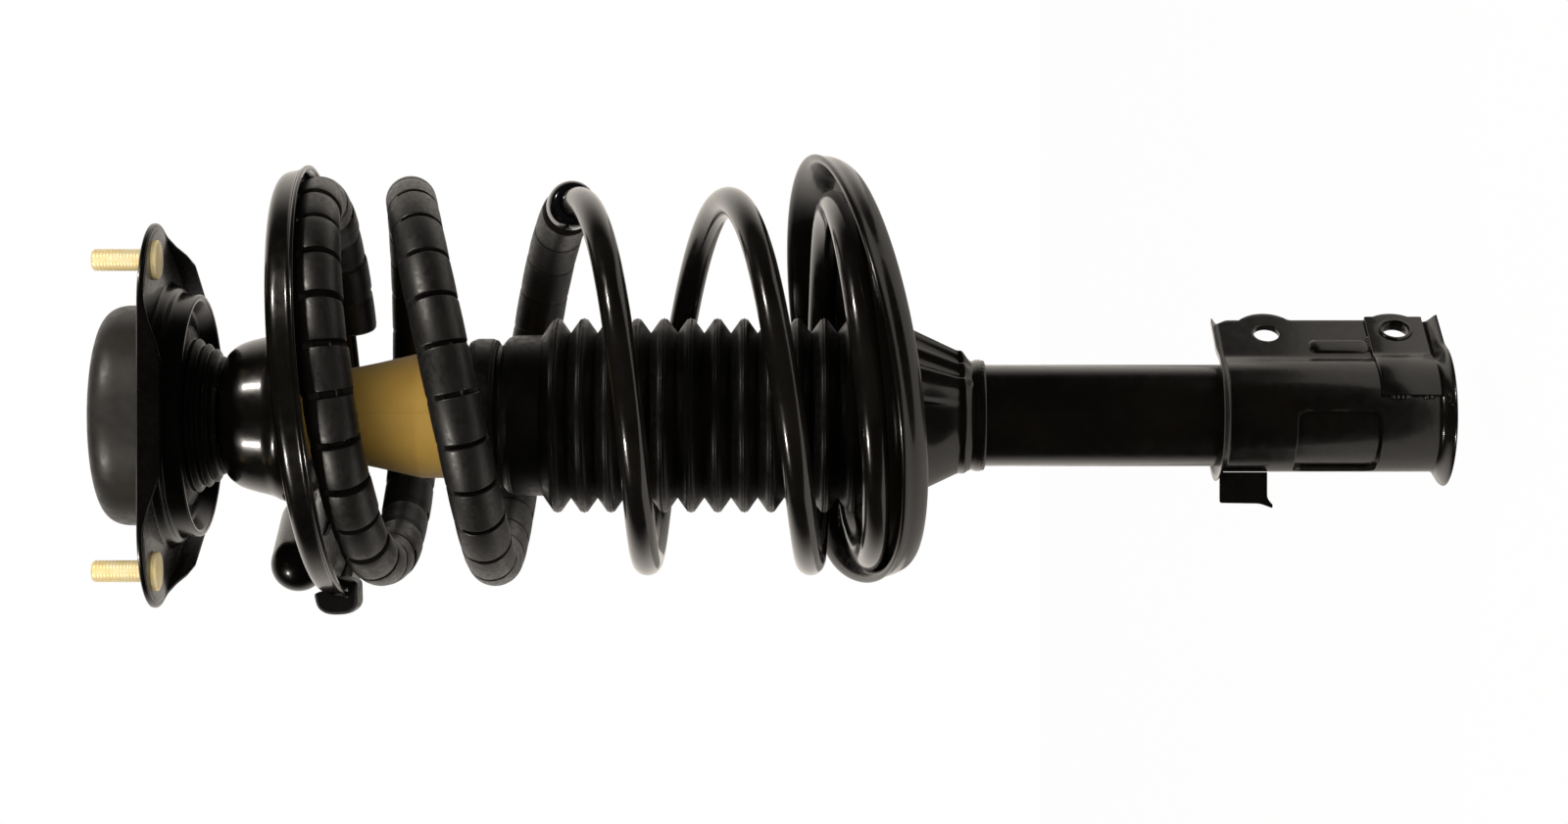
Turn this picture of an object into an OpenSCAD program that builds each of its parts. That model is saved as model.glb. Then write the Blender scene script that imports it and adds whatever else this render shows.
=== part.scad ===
// Front suspension strut with coil spring, upper mount and knuckle bracket.
// Millimetres. +Z runs along the strut towards the upper mount, with zero on the
// seating face of the mount plate. +X points along the ears of the knuckle bracket.

/* [Upper mount] */
// Thickness of the mount plate
plate_t = 3; // [2:0.5:5]
// Distance of each corner's arc centre from the strut axis
corner_dist = 57; // [50:1:64]
// Radius of each corner of the plate
corner_r = 38; // [34:1:42]
// Pitch circle diameter of the three studs
stud_pcd = 162; // [150:1:168]
// Direction of the first stud, in degrees from +X
stud_az = 38; // [0:1:60]
// Radius of the stud thread
stud_r = 5; // [4:0.5:6]
// Height of the stud above the plate
stud_len = 24.7; // [18:0.1:32]
// Radius of the stud's round head
stud_head_r = 9; // [7.5:0.5:11]
// Outer radius of the domed can
can_r = 51; // [49:0.5:53]
// Height of the domed can
can_h = 27.5; // [25:0.5:32]
// Radius of the can's shoulder
can_round = 13; // [10:0.5:15]
// Wall of the can
can_wall = 3; // [2:0.5:4]
// Radius of the opening in the top of the can
can_hole_r = 20; // [17:0.5:21]
// Radius of the cup's lower ring
cup_r = 56; // [54:0.5:58]
// Depth of the cup's lower ring below the seating face
cup_depth = 17.3; // [15:0.1:18.5]

/* [Strut bearing] */
// Pitch radius of the ball circle
ball_pitch_r = 17; // [16.5:0.5:18]
// Radius of one ball
ball_r = 3.5; // [3:0.1:3.7]
// Number of balls
ball_count = 12; // [8:1:13]
// Radial thickness of the ball cage
cage_w = 2; // [1.5:0.1:2.6]

/* [Damper rod] */
// Radius of the chromed rod
rod_r = 10; // [9:0.5:10.5]
// Radius of the threaded spigot on top of the rod
spigot_r = 7; // [6:0.5:8]
// Height of the rod's shoulder
shoulder_z = -31.2; // [-33:0.1:-31]
// Height of the piston's upper face
piston_z = -300; // [-320:1:-290]
// Height of the piston
piston_h = 20; // [16:1:26]

/* [Spring seats] */
// Offset of the spring's axis from the strut axis along +X
coil_x = 19.3; // [17:0.1:21]
// Offset of the spring's axis from the strut axis along +Y
coil_y = -5.2; // [-7:0.1:-3]
// How far the upper seat's rim stands out beyond the sleeve
seat_lip = 3.5; // [3:0.1:6]
// Height of the middle of the upper seat's rim
seat_z = -73.6; // [-74.5:0.1:-73.2]
// Depth of the upper seat's dish
seat_depth = 12.5; // [12:0.1:14]
// Sheet thickness of both spring seats
sheet = 2.6; // [2:0.1:3]
// Tilt of the upper seat, in degrees
seat_tilt = 5.2; // [5:0.1:5.4]
// Direction of the upper seat's high side, in degrees from +X
seat_az = -52; // [-54:1:-50]
// How far the lower seat's rim stands out beyond the wire
base_lip = 9.25; // [8.5:0.05:12]
// Height of the middle of the lower seat's rim
base_z = -313.9; // [-315:0.1:-313]
// Tilt of the lower seat's rim towards +X, in degrees
base_tilt = 14.7; // [14:0.1:15.4]
// Depth of the lower seat's skirt below its rim
skirt = 13.5; // [11:0.5:16]

/* [Coil spring] */
// Radius of the coil, to the middle of the wire
coil_r = 84; // [83:0.1:84.6]
// Diameter of the wire
wire_d = 13.5; // [12:0.1:14]
// Turns from the upper seat's high side to the wire's lower end
coil_turns = 4.62; // [4.5:0.01:4.64]
// Turns from the wire's upper end to the upper seat's high side
coil_lead = 0.2; // [0.1:0.01:0.22]
// Free pitch of the working turns
pitch_free = 71.3; // [70:0.1:72]
// Pitch of the turn that lies in the upper seat
pitch_seat = 34; // [32:0.5:36]
// Pitch of the turn that lies in the lower seat
pitch_base = 2; // [1:0.5:3]
// Outer diameter of the segmented sleeve
sleeve_d = 24; // [22:0.2:24.2]
// Length of one segment of the sleeve along the wire
segment_len = 20; // [15:1:30]
// Depth of the slots between segments
slot_depth = 1.6; // [1:0.1:2]
// Outer diameter of the ring that ends the sleeve
ring_d = 21; // [19:0.5:24]
// Length of the ring that ends the sleeve
ring_len = 11; // [8:0.5:14]

/* [Bump stop and boot] */
// Largest radius of the bump stop
bump_r = 29; // [27:0.5:30]
// Number of folds in the boot
folds = 12; // [8:1:12]
// Pitch of the boot's folds
fold_pitch = 12.35; // [11:0.05:12.4]
// Radius of a fold's crest
crest_r = 44; // [42:0.5:45]
// Radius of a fold's root
root_r = 36.4; // [35:0.1:38]
// Wall of the boot
boot_wall = 1.8; // [1.4:0.1:2.2]

/* [Damper body] */
// Outer radius of the reserve tube
tube_r = 23.5; // [23:0.1:24]
// Wall of the reserve tube
tube_wall = 2.2; // [1.8:0.1:2.6]
// Height of the tube's upper edge
tube_top = -237; // [-240:0.5:-234]
// Height of the tube's lower edge
tube_end = -590; // [-600:0.5:-585]
// Bore radius of the pressure tube
bore_r = 16; // [15:0.1:16.6]
// Wall of the pressure tube
liner_wall = 1.5; // [1.2:0.1:1.8]

/* [Knuckle bracket] */
// Height of the bracket's upper end
bracket_top = -486.8; // [-490:0.1:-480]
// Height of the bracket's lower end
bracket_end = -592.3; // [-596:0.1:-592]
// Sheet thickness of the bracket
bracket_t = 2.6; // [2.2:0.1:3.2]
// Half the width over the ears
ear_y = 22; // [21:0.1:23]
// Reach of the ears' straight edge along +X
ear_x = 44.6; // [42:0.1:47]
// Distance of the bolt holes from the strut axis
bolt_x = 34.2; // [33:0.1:36]
// Height of the upper bolt hole
bolt_z = -512.5; // [-515:0.1:-511]
// Distance between the two bolt holes
bolt_gap = 60; // [58:0.5:61]
// Radius of the bolt holes
bolt_r = 6.1; // [5:0.1:6.5]
// Radius of the round lobes at the bolt holes
lobe_r = 15.6; // [14.5:0.1:17]
// Flare of the bracket's two ends
flare = 4; // [2:0.5:5]

/* [Hidden] */
$fn = 96;
fit = 0.05;          // radial clearance of a running or push fit
gap = 0.3;           // clearance between curved faces that don't carry each other
big = 400;           // size of a cutting block, larger than any section

// ---- colours
gloss_black = [0.05, 0.05, 0.055];
satin_black = [0.12, 0.12, 0.125];
dark_grey = [0.2, 0.2, 0.205];
rubber_black = [0.07, 0.07, 0.07];
zinc = [0.80, 0.68, 0.36];
steel = [0.62, 0.62, 0.64];
chrome = [0.82, 0.82, 0.84];
ochre = [0.80, 0.62, 0.26];
bronze = [0.72, 0.5, 0.3];

// ---- placing helpers
// Leans its children so that the side at azimuth az rises by tilt degrees.
module lean(az, tilt) {
    rotate([0, 0, az]) rotate([0, -tilt, 0]) rotate([0, 0, -az]) children();
}
// A ring with a plain rectangular section.
module ring(ri, ro, z0, z1) {
    difference() {
        translate([0, 0, z0]) cylinder(r = ro, h = z1 - z0);
        translate([0, 0, z0 - 1]) cylinder(r = ri, h = z1 - z0 + 2);
    }
}
// Points of an arc about c, from angle a to angle b.
function arc(c, r, a, b, n = 8) =
    [for (i = [0:n]) c + r * [cos(a + (b - a) * i / n), sin(a + (b - a) * i / n)]];

// ---- upper mount
plate_hole_r = can_r - 9;
cup_in_r = cup_r - 6;
stud_head_t = 2.6;
stud_neck_r = stud_r + 0.4;     // pressed length of the stud, in the plate
can_step = 0.5;          // depth of the recess in the plate that the can stands in
can_collar = 6;          // height of the collar round the can's opening
rubber_bore_r = can_hole_r + can_wall + fit;
race_out_r = 26;
race_z0 = -20;
race_z1 = -7;
neck_r = 27.5;
inner_race_z1 = -5;
washer_t = 3;
washer_r = 19;
nut_flats = 21;
nut_h = 12;
spigot_h = 17;
hub_top = shoulder_z + sheet + gap;     // top face of the seat's hub

module plate_outline() {
    for (i = [0:2]) rotate(stud_az + 120 * i) translate([corner_dist, 0]) circle(r = corner_r);
    r = corner_r - 0.1;         // the sides just cross the corners' arcs
    polygon([for (i = [0:2], s = [-60, 60]) let (a = stud_az + 120 * i)
        corner_dist * [cos(a), sin(a)] + r * [cos(a + s), sin(a + s)]]);
}

module stud_places() {
    for (i = [0:2]) rotate(stud_az + 120 * i) translate([stud_pcd / 2, 0, 0]) children();
}

// Plate with the cup that is pressed down from it in two steps.
module mount_plate() {
    color(satin_black) difference() {
        union() {
            translate([0, 0, -plate_t]) linear_extrude(plate_t) plate_outline();
            rotate_extrude() polygon([[plate_hole_r, -plate_t], [cup_r + 10, -plate_t],
                [cup_r + 5, -plate_t - 4], [cup_r + 1.5, -plate_t - 5.5], [cup_r, -cup_depth + 1],
                [cup_r - 1, -cup_depth], [cup_r - 3, -cup_depth], [cup_in_r, -plate_t - 6],
                [plate_hole_r, -plate_t - 3.5]]);
        }
        translate([0, 0, -big / 2]) cylinder(r = plate_hole_r, h = big);
        translate([0, 0, -can_step]) cylinder(r = can_r + gap, h = plate_t);
        stud_places() translate([0, 0, -plate_t - 1]) cylinder(r = stud_neck_r + fit, h = plate_t + 2);
    }
}

// Can with a collar turned down round its opening.
module mount_housing() {
    ri = can_r - can_wall;
    rr = can_round - can_wall;
    c = [can_r - can_round, can_h - can_round];
    color(dark_grey) rotate_extrude() polygon(concat([[can_r, -can_step]], arc(c, can_round, 0, 90),
        [[can_hole_r, can_h], [can_hole_r, can_h - can_collar], [can_hole_r + can_wall, can_h - can_collar],
        [can_hole_r + can_wall, can_h - can_wall]], arc(c, rr, 90, 0), [[ri, -can_step]]));
}

module mount_studs() {
    chamfer = 1;
    color(zinc) stud_places() rotate_extrude() polygon([[0, -plate_t - stud_head_t],
        [stud_head_r - 1.2, -plate_t - stud_head_t], [stud_head_r, -plate_t - stud_head_t + 0.8],
        [stud_head_r, -plate_t], [stud_neck_r, -plate_t], [stud_neck_r, 0], [stud_r, 0],
        [stud_r, stud_len - chamfer], [stud_r - chamfer, stud_len], [0, stud_len]]);
}

// One moulding: it fills the can, grips the outer race and closes in to a lip
// just above the seat's dome.
module mount_rubber() {
    ri = can_r - can_wall - fit;
    c = [can_r - can_round, can_h - can_round];
    color(rubber_black) rotate_extrude() polygon(concat(
        [[neck_r - 4.5, shoulder_z + 3.2], [neck_r, shoulder_z + 3.2], [neck_r + 2.5, -21],
        [plate_hole_r - 4, -11.5], [plate_hole_r - fit, -10], [plate_hole_r - fit, fit - can_step],
        [ri, fit - can_step]],
        arc(c, can_round - can_wall - fit, 0, 90),
        [[rubber_bore_r, can_h - can_wall - fit], [rubber_bore_r, race_z1 + fit],
        [race_out_r + fit, race_z1 + fit], [race_out_r + fit, race_z0], [neck_r - 4.5, race_z0]]));
}

// ---- strut bearing
ball_z = (race_z0 + race_z1) / 2;
race_gap = 2;         // half the space between the races
cage_h = 9;

module ball_groove() {
    translate([0, 0, ball_z]) rotate_extrude() translate([ball_pitch_r, 0]) circle(r = ball_r + fit);
}

module bearing_outer_race() {
    color(steel) difference() {
        ring(ball_pitch_r + race_gap, race_out_r, race_z0, race_z1);
        ball_groove();
    }
}

module bearing_inner_race() {
    color(steel) difference() {
        ring(spigot_r + fit, ball_pitch_r - race_gap, hub_top, inner_race_z1);
        ball_groove();
    }
}

module ball_places() {
    for (i = [0:ball_count - 1]) rotate(i * 360 / ball_count) translate([ball_pitch_r, 0, ball_z]) children();
}

module bearing_cage() {
    color(steel) difference() {
        ring(ball_pitch_r - cage_w / 2, ball_pitch_r + cage_w / 2, ball_z - cage_h / 2, ball_z + cage_h / 2);
        ball_places() sphere(r = ball_r + 2 * fit, $fn = 32);
    }
}

module bearing_balls() {
    color(chrome) ball_places() sphere(r = ball_r, $fn = 32);
}

// ---- rod and the stack on its spigot
module top_washer() {
    color(steel) ring(spigot_r + fit, washer_r, inner_race_z1, inner_race_z1 + washer_t);
}

module top_nut() {
    z0 = inner_race_z1 + washer_t;
    color(zinc) difference() {
        union() {
            translate([0, 0, z0]) cylinder(r = nut_flats / 2 / cos(30), h = nut_h, $fn = 6);
            translate([0, 0, z0]) cylinder(r = nut_flats / 2 + 3, h = 2);
        }
        translate([0, 0, z0 - 1]) cylinder(r = spigot_r + fit, h = nut_h + 2);
    }
}

piston_spigot_r = 6;
piston_nut_h = 9;
rod_end = piston_z - piston_h - piston_nut_h - 2;

module piston_rod() {
    socket_r = 3;
    color(chrome) difference() {
        rotate_extrude() polygon([[0, rod_end], [piston_spigot_r, rod_end], [piston_spigot_r, piston_z],
            [rod_r, piston_z], [rod_r, shoulder_z - 1], [rod_r - 1, shoulder_z], [spigot_r, shoulder_z],
            [spigot_r, spigot_h - 1], [spigot_r - 1, spigot_h], [0, spigot_h]]);
        translate([0, 0, spigot_h - 8]) cylinder(r = socket_r, h = 9, $fn = 6);
    }
}

// ---- upper spring seat
seat_r = coil_r + sleeve_d / 2 + seat_lip;      // radius of the upper seat's rim
dome_top_r = 25;
dome_pts = [[dome_top_r - 3, shoulder_z + sheet], [dome_top_r, shoulder_z + sheet - 1], [30.5, -33],
    [33, -41], [36.5, -53], [41, -60], [42, -68]];
dish_round = 8;                       // outer radius of the dish's shoulder, and its centre
dish_c = [seat_r - 1 - dish_round, seat_depth - dish_round];
bead_r = 1.9;                         // radius of the rolled rim
blister_r = 15;                       // spring-end pocket pressed out of the dish
blister_az = 105;
blister_z = -58;
blister_len = 44;

module in_coil() {
    translate([coil_x, coil_y, 0]) children();
}
// Frame of the upper seat's rim: its middle is the origin and its rim lies in z = 0.
module in_seat() {
    in_coil() translate([0, 0, seat_z]) lean(seat_az, seat_tilt) children();
}
// A straight bar with round ends, grown by d, that forms the spring-end pocket.
module blister(d) {
    r = blister_r + d;
    h = blister_len / 2;
    in_coil() rotate([0, 0, blister_az]) translate([coil_r, 0, blister_z]) rotate([90, 0, 0])
        rotate_extrude() intersection() {
            union() {
                translate([0, -h]) square([r, 2 * h]);
                for (y = [-h, h]) translate([0, y]) circle(r = r);
            }
            translate([0, -h - r]) square([r, 2 * (h + r)]);
        }
}
// Solid of the dome, drawn in from its outer points by wall.
module dome(wall) {
    n = len(dome_pts) - 1;
    top = dome_pts[0] - [wall, wall];
    rotate_extrude() polygon(concat([[0, dome_pts[n].y], [dome_pts[n].x - wall, dome_pts[n].y]],
        [for (i = [n - 1:-1:1]) dome_pts[i] - [wall, wall * 0.6]], [top, [0, top.y]]));
}
// Section of the dish: floor, round shoulder, wall and rolled rim.
module dish() {
    inner = dome_top_r - 10;
    rotate_extrude() {
        polygon(concat([[inner, seat_depth], [dish_c.x, seat_depth]], arc(dish_c, dish_round, 90, 0),
            [[seat_r, 0], [seat_r - sheet, 0]], arc(dish_c, dish_round - sheet, 0, 90),
            [[inner, seat_depth - sheet]]));
        translate([seat_r - 0.6, 0]) circle(r = bead_r, $fn = 24);
    }
}

module upper_seat() {
    color(gloss_black) difference() {
        union() {
            difference() {
                dome(0);
                in_seat() translate([0, 0, seat_depth - sheet - big]) cylinder(r = big, h = big);
            }
            in_seat() dish();
            intersection() {
                blister(0);
                in_seat() translate([0, 0, seat_depth - sheet]) cylinder(r = 2 * seat_r, h = 60);
            }
        }
        dome(sheet);
        translate([0, 0, -big + dome_pts[4].y]) cylinder(r = dome_pts[4].x - sheet, h = big);
        translate([0, 0, shoulder_z - 1]) cylinder(r = spigot_r + fit, h = 10);
        blister(-sheet);
    }
}

insulator_t = 2.6;
lug_az = 128;
lug_turn = 10;         // width of the lug, in degrees round the rim
lug_t = 6.4;

// Ring between the sleeve and the dish, with a lug that hooks round the rim.
module upper_insulator() {
    top = seat_depth - sheet;
    in_r = seat_r - 11;               // inner edge of the lug, on the ring
    under = -bead_r - gap;
    out_r = seat_r + bead_r;
    color(rubber_black) in_seat() {
        ring(coil_r - 12, seat_r - 9, top - insulator_t, top);
        rotate([0, 0, lug_az - lug_turn / 2]) rotate_extrude(angle = lug_turn)
            polygon(concat([[in_r, top - 0.6]], arc(dish_c, dish_round - sheet - gap, 70, 0),
                [[seat_r - sheet - gap, under], [out_r, under], [out_r, top], [out_r + lug_t, top],
                [out_r + lug_t, under - 2.2], [seat_r - 5, under - 2.2], [seat_r - 7.5, 1], [in_r, 1]]));
    }
}

// ---- coil spring
// Slope of the coil's plane and azimuth of its high side, in the upper seat,
// over the free turns and in the lower seat.
lean_seat = [0.075, seat_az];
lean_free = [0.12, 44];
lean_base = [0.1356, -14];
end_draw = 2.5;         // how far the last turn is drawn in
draw_from = 3.4;
coil_z0 = -76.3;
lead_len = 0.2;         // turns over which the seated turn starts to fall
rise_from = 0.22;      // turns over which the pitch opens and closes again
rise_len = 1.18;
fall_from = 3.64;
fall_len = 0.3;
free_from = 1;         // turns over which the coil's plane changes its lean
free_len = 0.58;
base_from = 2.53;
base_len = 2;
rings_per_turn = 36;
wire_sides = 6;

function smooth(x) = let (t = min(max(x, 0), 1)) t * t * (3 - 2 * t);
// Integral of smooth(), which carries on as a straight line after 1.
function eased(x) = x <= 0 ? 0 : x < 1 ? pow(x, 3) - pow(x, 4) / 2 : x - 0.5;
function radius_at(n) = coil_r - end_draw * smooth(n - draw_from);
function tilt_at(s, a) = s[0] * cos(a - s[1]);
// Middle of the wire n turns after the upper seat's high side.
function coil_at(n) =
    let (a = seat_az - 360 * n, w = smooth((n - free_from) / free_len), v = smooth((n - base_from) / base_len),
        drop = pitch_seat * lead_len * eased(n / lead_len + 0.5)
            + (pitch_free - pitch_seat) * rise_len * eased((n - rise_from) / rise_len)
            - (pitch_free - pitch_base) * fall_len * eased((n - fall_from) / fall_len),
        tilt = tilt_at(lean_seat, a) * (1 - w) + tilt_at(lean_free, a) * (w - v) + tilt_at(lean_base, a) * v)
    [coil_x + radius_at(n) * cos(a), coil_y + radius_at(n) * sin(a), coil_z0 - drop + coil_r * tilt];
function coil_dir(n) = let (d = coil_at(n + 0.001) - coil_at(n - 0.001)) d / norm(d);
// Ring of k points of radius r round the wire's middle, square to the wire.
function wire_ring(n, r, k) =
    let (p = coil_at(n), t = coil_dir(n), a = seat_az - 360 * n, o = [cos(a), sin(a), 0],
        e = (o - (o * t) * t) / norm(o - (o * t) * t), f = cross(t, e))
    [for (i = [0:k - 1]) p + r * (cos(360 * i / k) * e + sin(360 * i / k) * f)];
// Side faces of a tube whose rings of k points start at point s; flip turns them round.
function tube_faces(m, k, s = 0, flip = false) =
    [for (j = [0:m - 2], i = [0:k - 1], h = [0, 1])
        let (a = s + j * k + i, b = s + j * k + (i + 1) % k, c = a + k, d = b + k,
            f = h == 0 ? [a, b, d] : [a, d, c])
        flip ? [f[2], f[1], f[0]] : f];
// Tube about the coil's line. stations holds [turn, radius] pairs.
module wire_tube(stations, k) {
    m = len(stations);
    points = [for (s = stations) each wire_ring(s[0], s[1], k)];
    ends = concat([for (i = [1:k - 2]) [0, i + 1, i]],
        [for (i = [1:k - 2]) let (s = (m - 1) * k) [s, s + i, s + i + 1]]);
    polyhedron(points, concat(tube_faces(m, k), ends));
}
// The same with a bore, whose own stations have the same first and last turn.
module hollow_wire_tube(stations, bores, k) {
    m = len(stations);
    q = len(bores);
    s = m * k;
    points = [for (t = concat(stations, bores)) each wire_ring(t[0], t[1], k)];
    ends = [for (i = [0:k - 1], e = [0, 1], h = [0, 1])
        let (a = e == 0 ? i : (m - 1) * k + i, b = e == 0 ? (i + 1) % k : (m - 1) * k + (i + 1) % k,
            c = e == 0 ? s + i : s + (q - 1) * k + i,
            d = e == 0 ? s + (i + 1) % k : s + (q - 1) * k + (i + 1) % k,
            f = h == 0 ? [a, d, b] : [a, c, d])
        e == 0 ? f : [f[2], f[1], f[0]]];
    polyhedron(points, concat(tube_faces(m, k), tube_faces(q, k, s, true), ends));
}
function even_stations(from, to, per_turn, r) =
    let (m = ceil((to - from) * per_turn)) [for (j = [0:m]) [from + (to - from) * j / m, r]];

sleeve_end = 1.93;
bore_slack = 0.5;
turn_len = 2 * PI * coil_r;
segments = round((sleeve_end + coil_lead) * turn_len / segment_len);
// Three rings to a segment: its two full edges and the slot after it.
function sleeve_stations() =
    [for (j = [0:segments - 1], e = [0.06, 0.94, 1])
        if (!(j == segments - 1 && e == 1))
        [-coil_lead + (sleeve_end + coil_lead) * (e == 0.06 && j == 0 ? 0 : j + e) / segments,
            sleeve_d / 2 - (e == 1 ? slot_depth : 0)]];

module coil_spring() {
    color(gloss_black) wire_tube(even_stations(-coil_lead, coil_turns, rings_per_turn, wire_d / 2), wire_sides);
}

module spring_sleeve() {
    outer = sleeve_stations();
    last = outer[len(outer) - 1];
    color(satin_black) hollow_wire_tube(outer,
        even_stations(outer[0][0], last[0], rings_per_turn, wire_d / 2 + bore_slack), wire_sides);
}

module sleeve_end_ring() {
    half_turn = ring_len / 2 / turn_len;
    mid = sleeve_end + half_turn + 0.3 / turn_len;
    outer = [for (i = [0:6]) [mid + half_turn * (i / 3 - 1), ring_d / 2 - 2.4 * pow(i / 3 - 1, 2)]];
    color(gloss_black) hollow_wire_tube(outer,
        [for (s = outer) [s[0], wire_d / 2 + bore_slack]], 12);
}

// Least space between parts of the wire that are at least half a turn apart.
wire_gap = min([for (i = [0:rings_per_turn * 3]) let (n = -coil_lead + i / rings_per_turn * 1.3)
    for (m = [n + 0.5:1 / rings_per_turn:coil_turns]) norm(coil_at(m) - coil_at(n))]) - wire_d;
sleeve_gap = min([for (n = [-coil_lead:1 / rings_per_turn:sleeve_end])
    for (m = [n + 0.5:1 / rings_per_turn:coil_turns])
        norm(coil_at(m) - coil_at(n)) - (m < sleeve_end ? sleeve_d : (sleeve_d + wire_d) / 2)]);
echo(wire_gap = wire_gap, sleeve_gap = sleeve_gap);

// ---- bump stop and boot
bump_top = shoulder_z - gap;
bump_end = -165;
waist_r = 18;            // radius of the bump stop at its top
// steps of the bump stop: how much wider than the waist, and the distance below its top
bump_steps = [[1, 26.5], [3.5, 48.5], [4.7, 57.5]];
collar_top = -143.2;
collar_r = 34;           // radius of the boot's collar
// steps under the collar: how much wider than it, and the distance below the collar's top
collar_steps = [[0, 10.4], [-2.5, 11.8], [-2.5, 15.2], [-1, 16.3], [2, 19.5], [2, 30]];
fold_z = -182;           // height of the first crest

module bump_stop() {
    color(ochre) rotate_extrude() polygon(concat([[rod_r + gap, bump_top], [waist_r, bump_top]],
        [for (s = bump_steps) [waist_r + s.x, bump_top - s.y]],
        [[bump_r - 0.6, bump_top - 81.5], [bump_r, bump_top - 86.5], [bump_r, collar_top - 4],
        [bump_r - 4, collar_top - 9], [bump_r - 4, bump_end + 10], [waist_r + 3, bump_end + 3],
        [waist_r + 1, bump_end], [rod_r + gap, bump_end]]));
}

boot_z = fold_z - (folds - 1) * fold_pitch - fold_pitch / 2;     // root under the last crest

module dust_boot() {
    cuff_r = tube_r + 2 * gap;
    outer = concat([[collar_r, collar_top - 1]], [for (s = collar_steps) [collar_r + s.x, collar_top - s.y]],
        [[root_r, fold_z + fold_pitch / 2]],
        [for (i = [0:folds - 1], e = [0, 0.5]) [e == 0 ? crest_r : root_r, fold_z - fold_pitch * (i + e)]],
        [[cuff_r + boot_wall, boot_z - 2], [cuff_r + boot_wall, boot_z - 9]]);
    inner = [for (i = [len(outer) - 1:-1:3]) [max(outer[i].x - boot_wall, cuff_r), outer[i].y]];
    color(rubber_black) rotate_extrude() polygon(concat([[collar_r - 1, collar_top]], outer, inner,
        [[bump_r - 4 + gap, collar_top - 12.3], [bump_r - 4 + gap, collar_top - 9.6],
        [bump_r + gap, collar_top - 4.4], [bump_r + gap, collar_top]]));
}

// ---- inside the damper
guide_top = tube_top - 5;
guide_mid = guide_top - 10;
guide_end = guide_top - 20;
bush_r = rod_r + 2;
stop_h = 10;
piston_r = bore_r - 0.6;

module rebound_stop() {
    z1 = guide_end - gap;
    color(satin_black) ring(rod_r + fit, bore_r - 1.5, z1 - stop_h, z1);
}

module piston() {
    port_r = 1.6;
    band_h = 12;
    color(steel) difference() {
        ring(piston_spigot_r + fit, piston_r, piston_z - piston_h, piston_z);
        translate([0, 0, piston_z - (piston_h + band_h) / 2])
            ring(piston_r - 1.2, piston_r + 1, 0, band_h);
        for (a = [0:60:300]) rotate(a) translate([10.4, 0, piston_z - piston_h - 1])
            cylinder(r = port_r, h = piston_h + 2);
    }
}

module piston_band() {
    band_h = 12;
    color(rubber_black) translate([0, 0, piston_z - (piston_h + band_h) / 2])
        ring(piston_r - 1.2 + fit, bore_r - fit, fit, band_h - fit);
}

module piston_nut() {
    z1 = piston_z - piston_h;
    color(zinc) difference() {
        translate([0, 0, z1 - piston_nut_h]) cylinder(r = 10, h = piston_nut_h, $fn = 6);
        translate([0, 0, z1 - piston_nut_h - 1]) cylinder(r = piston_spigot_r + fit, h = piston_nut_h + 2);
    }
}

cap_t = 6;

module reserve_tube() {
    color(gloss_black) ring(tube_r - tube_wall, tube_r, tube_end, tube_top);
}

liner_r = bore_r + liner_wall;
valve_h = 8;
cap_top = tube_end + 2 + cap_t;

module pressure_tube() {
    color(steel) ring(bore_r, liner_r, cap_top + valve_h, guide_mid);
}

module rod_guide() {
    color(steel) {
        ring(bush_r, tube_r - tube_wall - fit, guide_mid, guide_top);
        ring(bush_r, bore_r - fit, guide_end, guide_mid);
    }
}

module guide_bush() {
    color(bronze) ring(rod_r + fit, bush_r - 0.02, guide_end, guide_top);
}

module rod_seal() {
    color(rubber_black) ring(rod_r + fit, tube_r - tube_wall - fit, guide_top, tube_top);
}

cap_wall = 1.2;

module striker_cap() {
    skirt_h = 9;
    color(satin_black) rotate_extrude() polygon([[rod_r + 1, tube_top], [rod_r + 1, tube_top + cap_wall + 3],
        [rod_r + 4, tube_top + cap_wall + 3], [rod_r + 6, tube_top + cap_wall],
        [tube_r - 1, tube_top + cap_wall], [tube_r + cap_wall, tube_top - 1],
        [tube_r + cap_wall, tube_top - skirt_h], [tube_r + fit, tube_top - skirt_h], [tube_r + fit, tube_top]]);
}

module base_valve() {
    slot = 3;
    color(steel) difference() {
        union() {
            translate([0, 0, cap_top]) cylinder(r = liner_r, h = valve_h);
            translate([0, 0, cap_top + valve_h]) cylinder(r = bore_r - fit, h = 5);
        }
        for (a = [0:60:300]) rotate(a) translate([9, -slot / 2, cap_top - 1]) cube([20, slot, 4]);
        for (a = [30:60:330]) rotate(a) translate([11, 0, cap_top - 1]) cylinder(r = 1.5, h = valve_h + 7);
    }
}

module base_cap() {
    color(gloss_black) rotate_extrude() polygon([[0, cap_top - cap_t], [12, cap_top - cap_t],
        [16, cap_top - cap_t - 1.5], [tube_r - tube_wall - fit, cap_top - cap_t - 1.5],
        [tube_r - tube_wall - fit, cap_top], [0, cap_top]]);
}

// ---- lower spring seat
base_x = 26;                // middle of the rim
base_y = -7;
floor_tilt = atan(lean_base[0]);
wire_end = coil_at(coil_turns);     // where the wire is lowest above the floor
floor_z = wire_end.z - (wire_d / 2) / cos(floor_tilt) - 0.25
    - lean_base[0] * [cos(lean_base[1]), sin(lean_base[1])] * [wire_end.x - base_x, wire_end.y - base_y];
base_r = coil_r + wire_d / 2 + base_lip;        // radius of the lower seat's rim
base_wall_r = base_r - 3.5; // wall that joins the floor to the rim
neck_hole_r = 46;

// Frame of the rim, and frame of the floor's upper face.
module in_rim() {
    translate([base_x, base_y, base_z]) lean(0, base_tilt) children();
}
module in_floor() {
    translate([base_x, base_y, floor_z]) lean(lean_base[1], floor_tilt) children();
}

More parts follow.
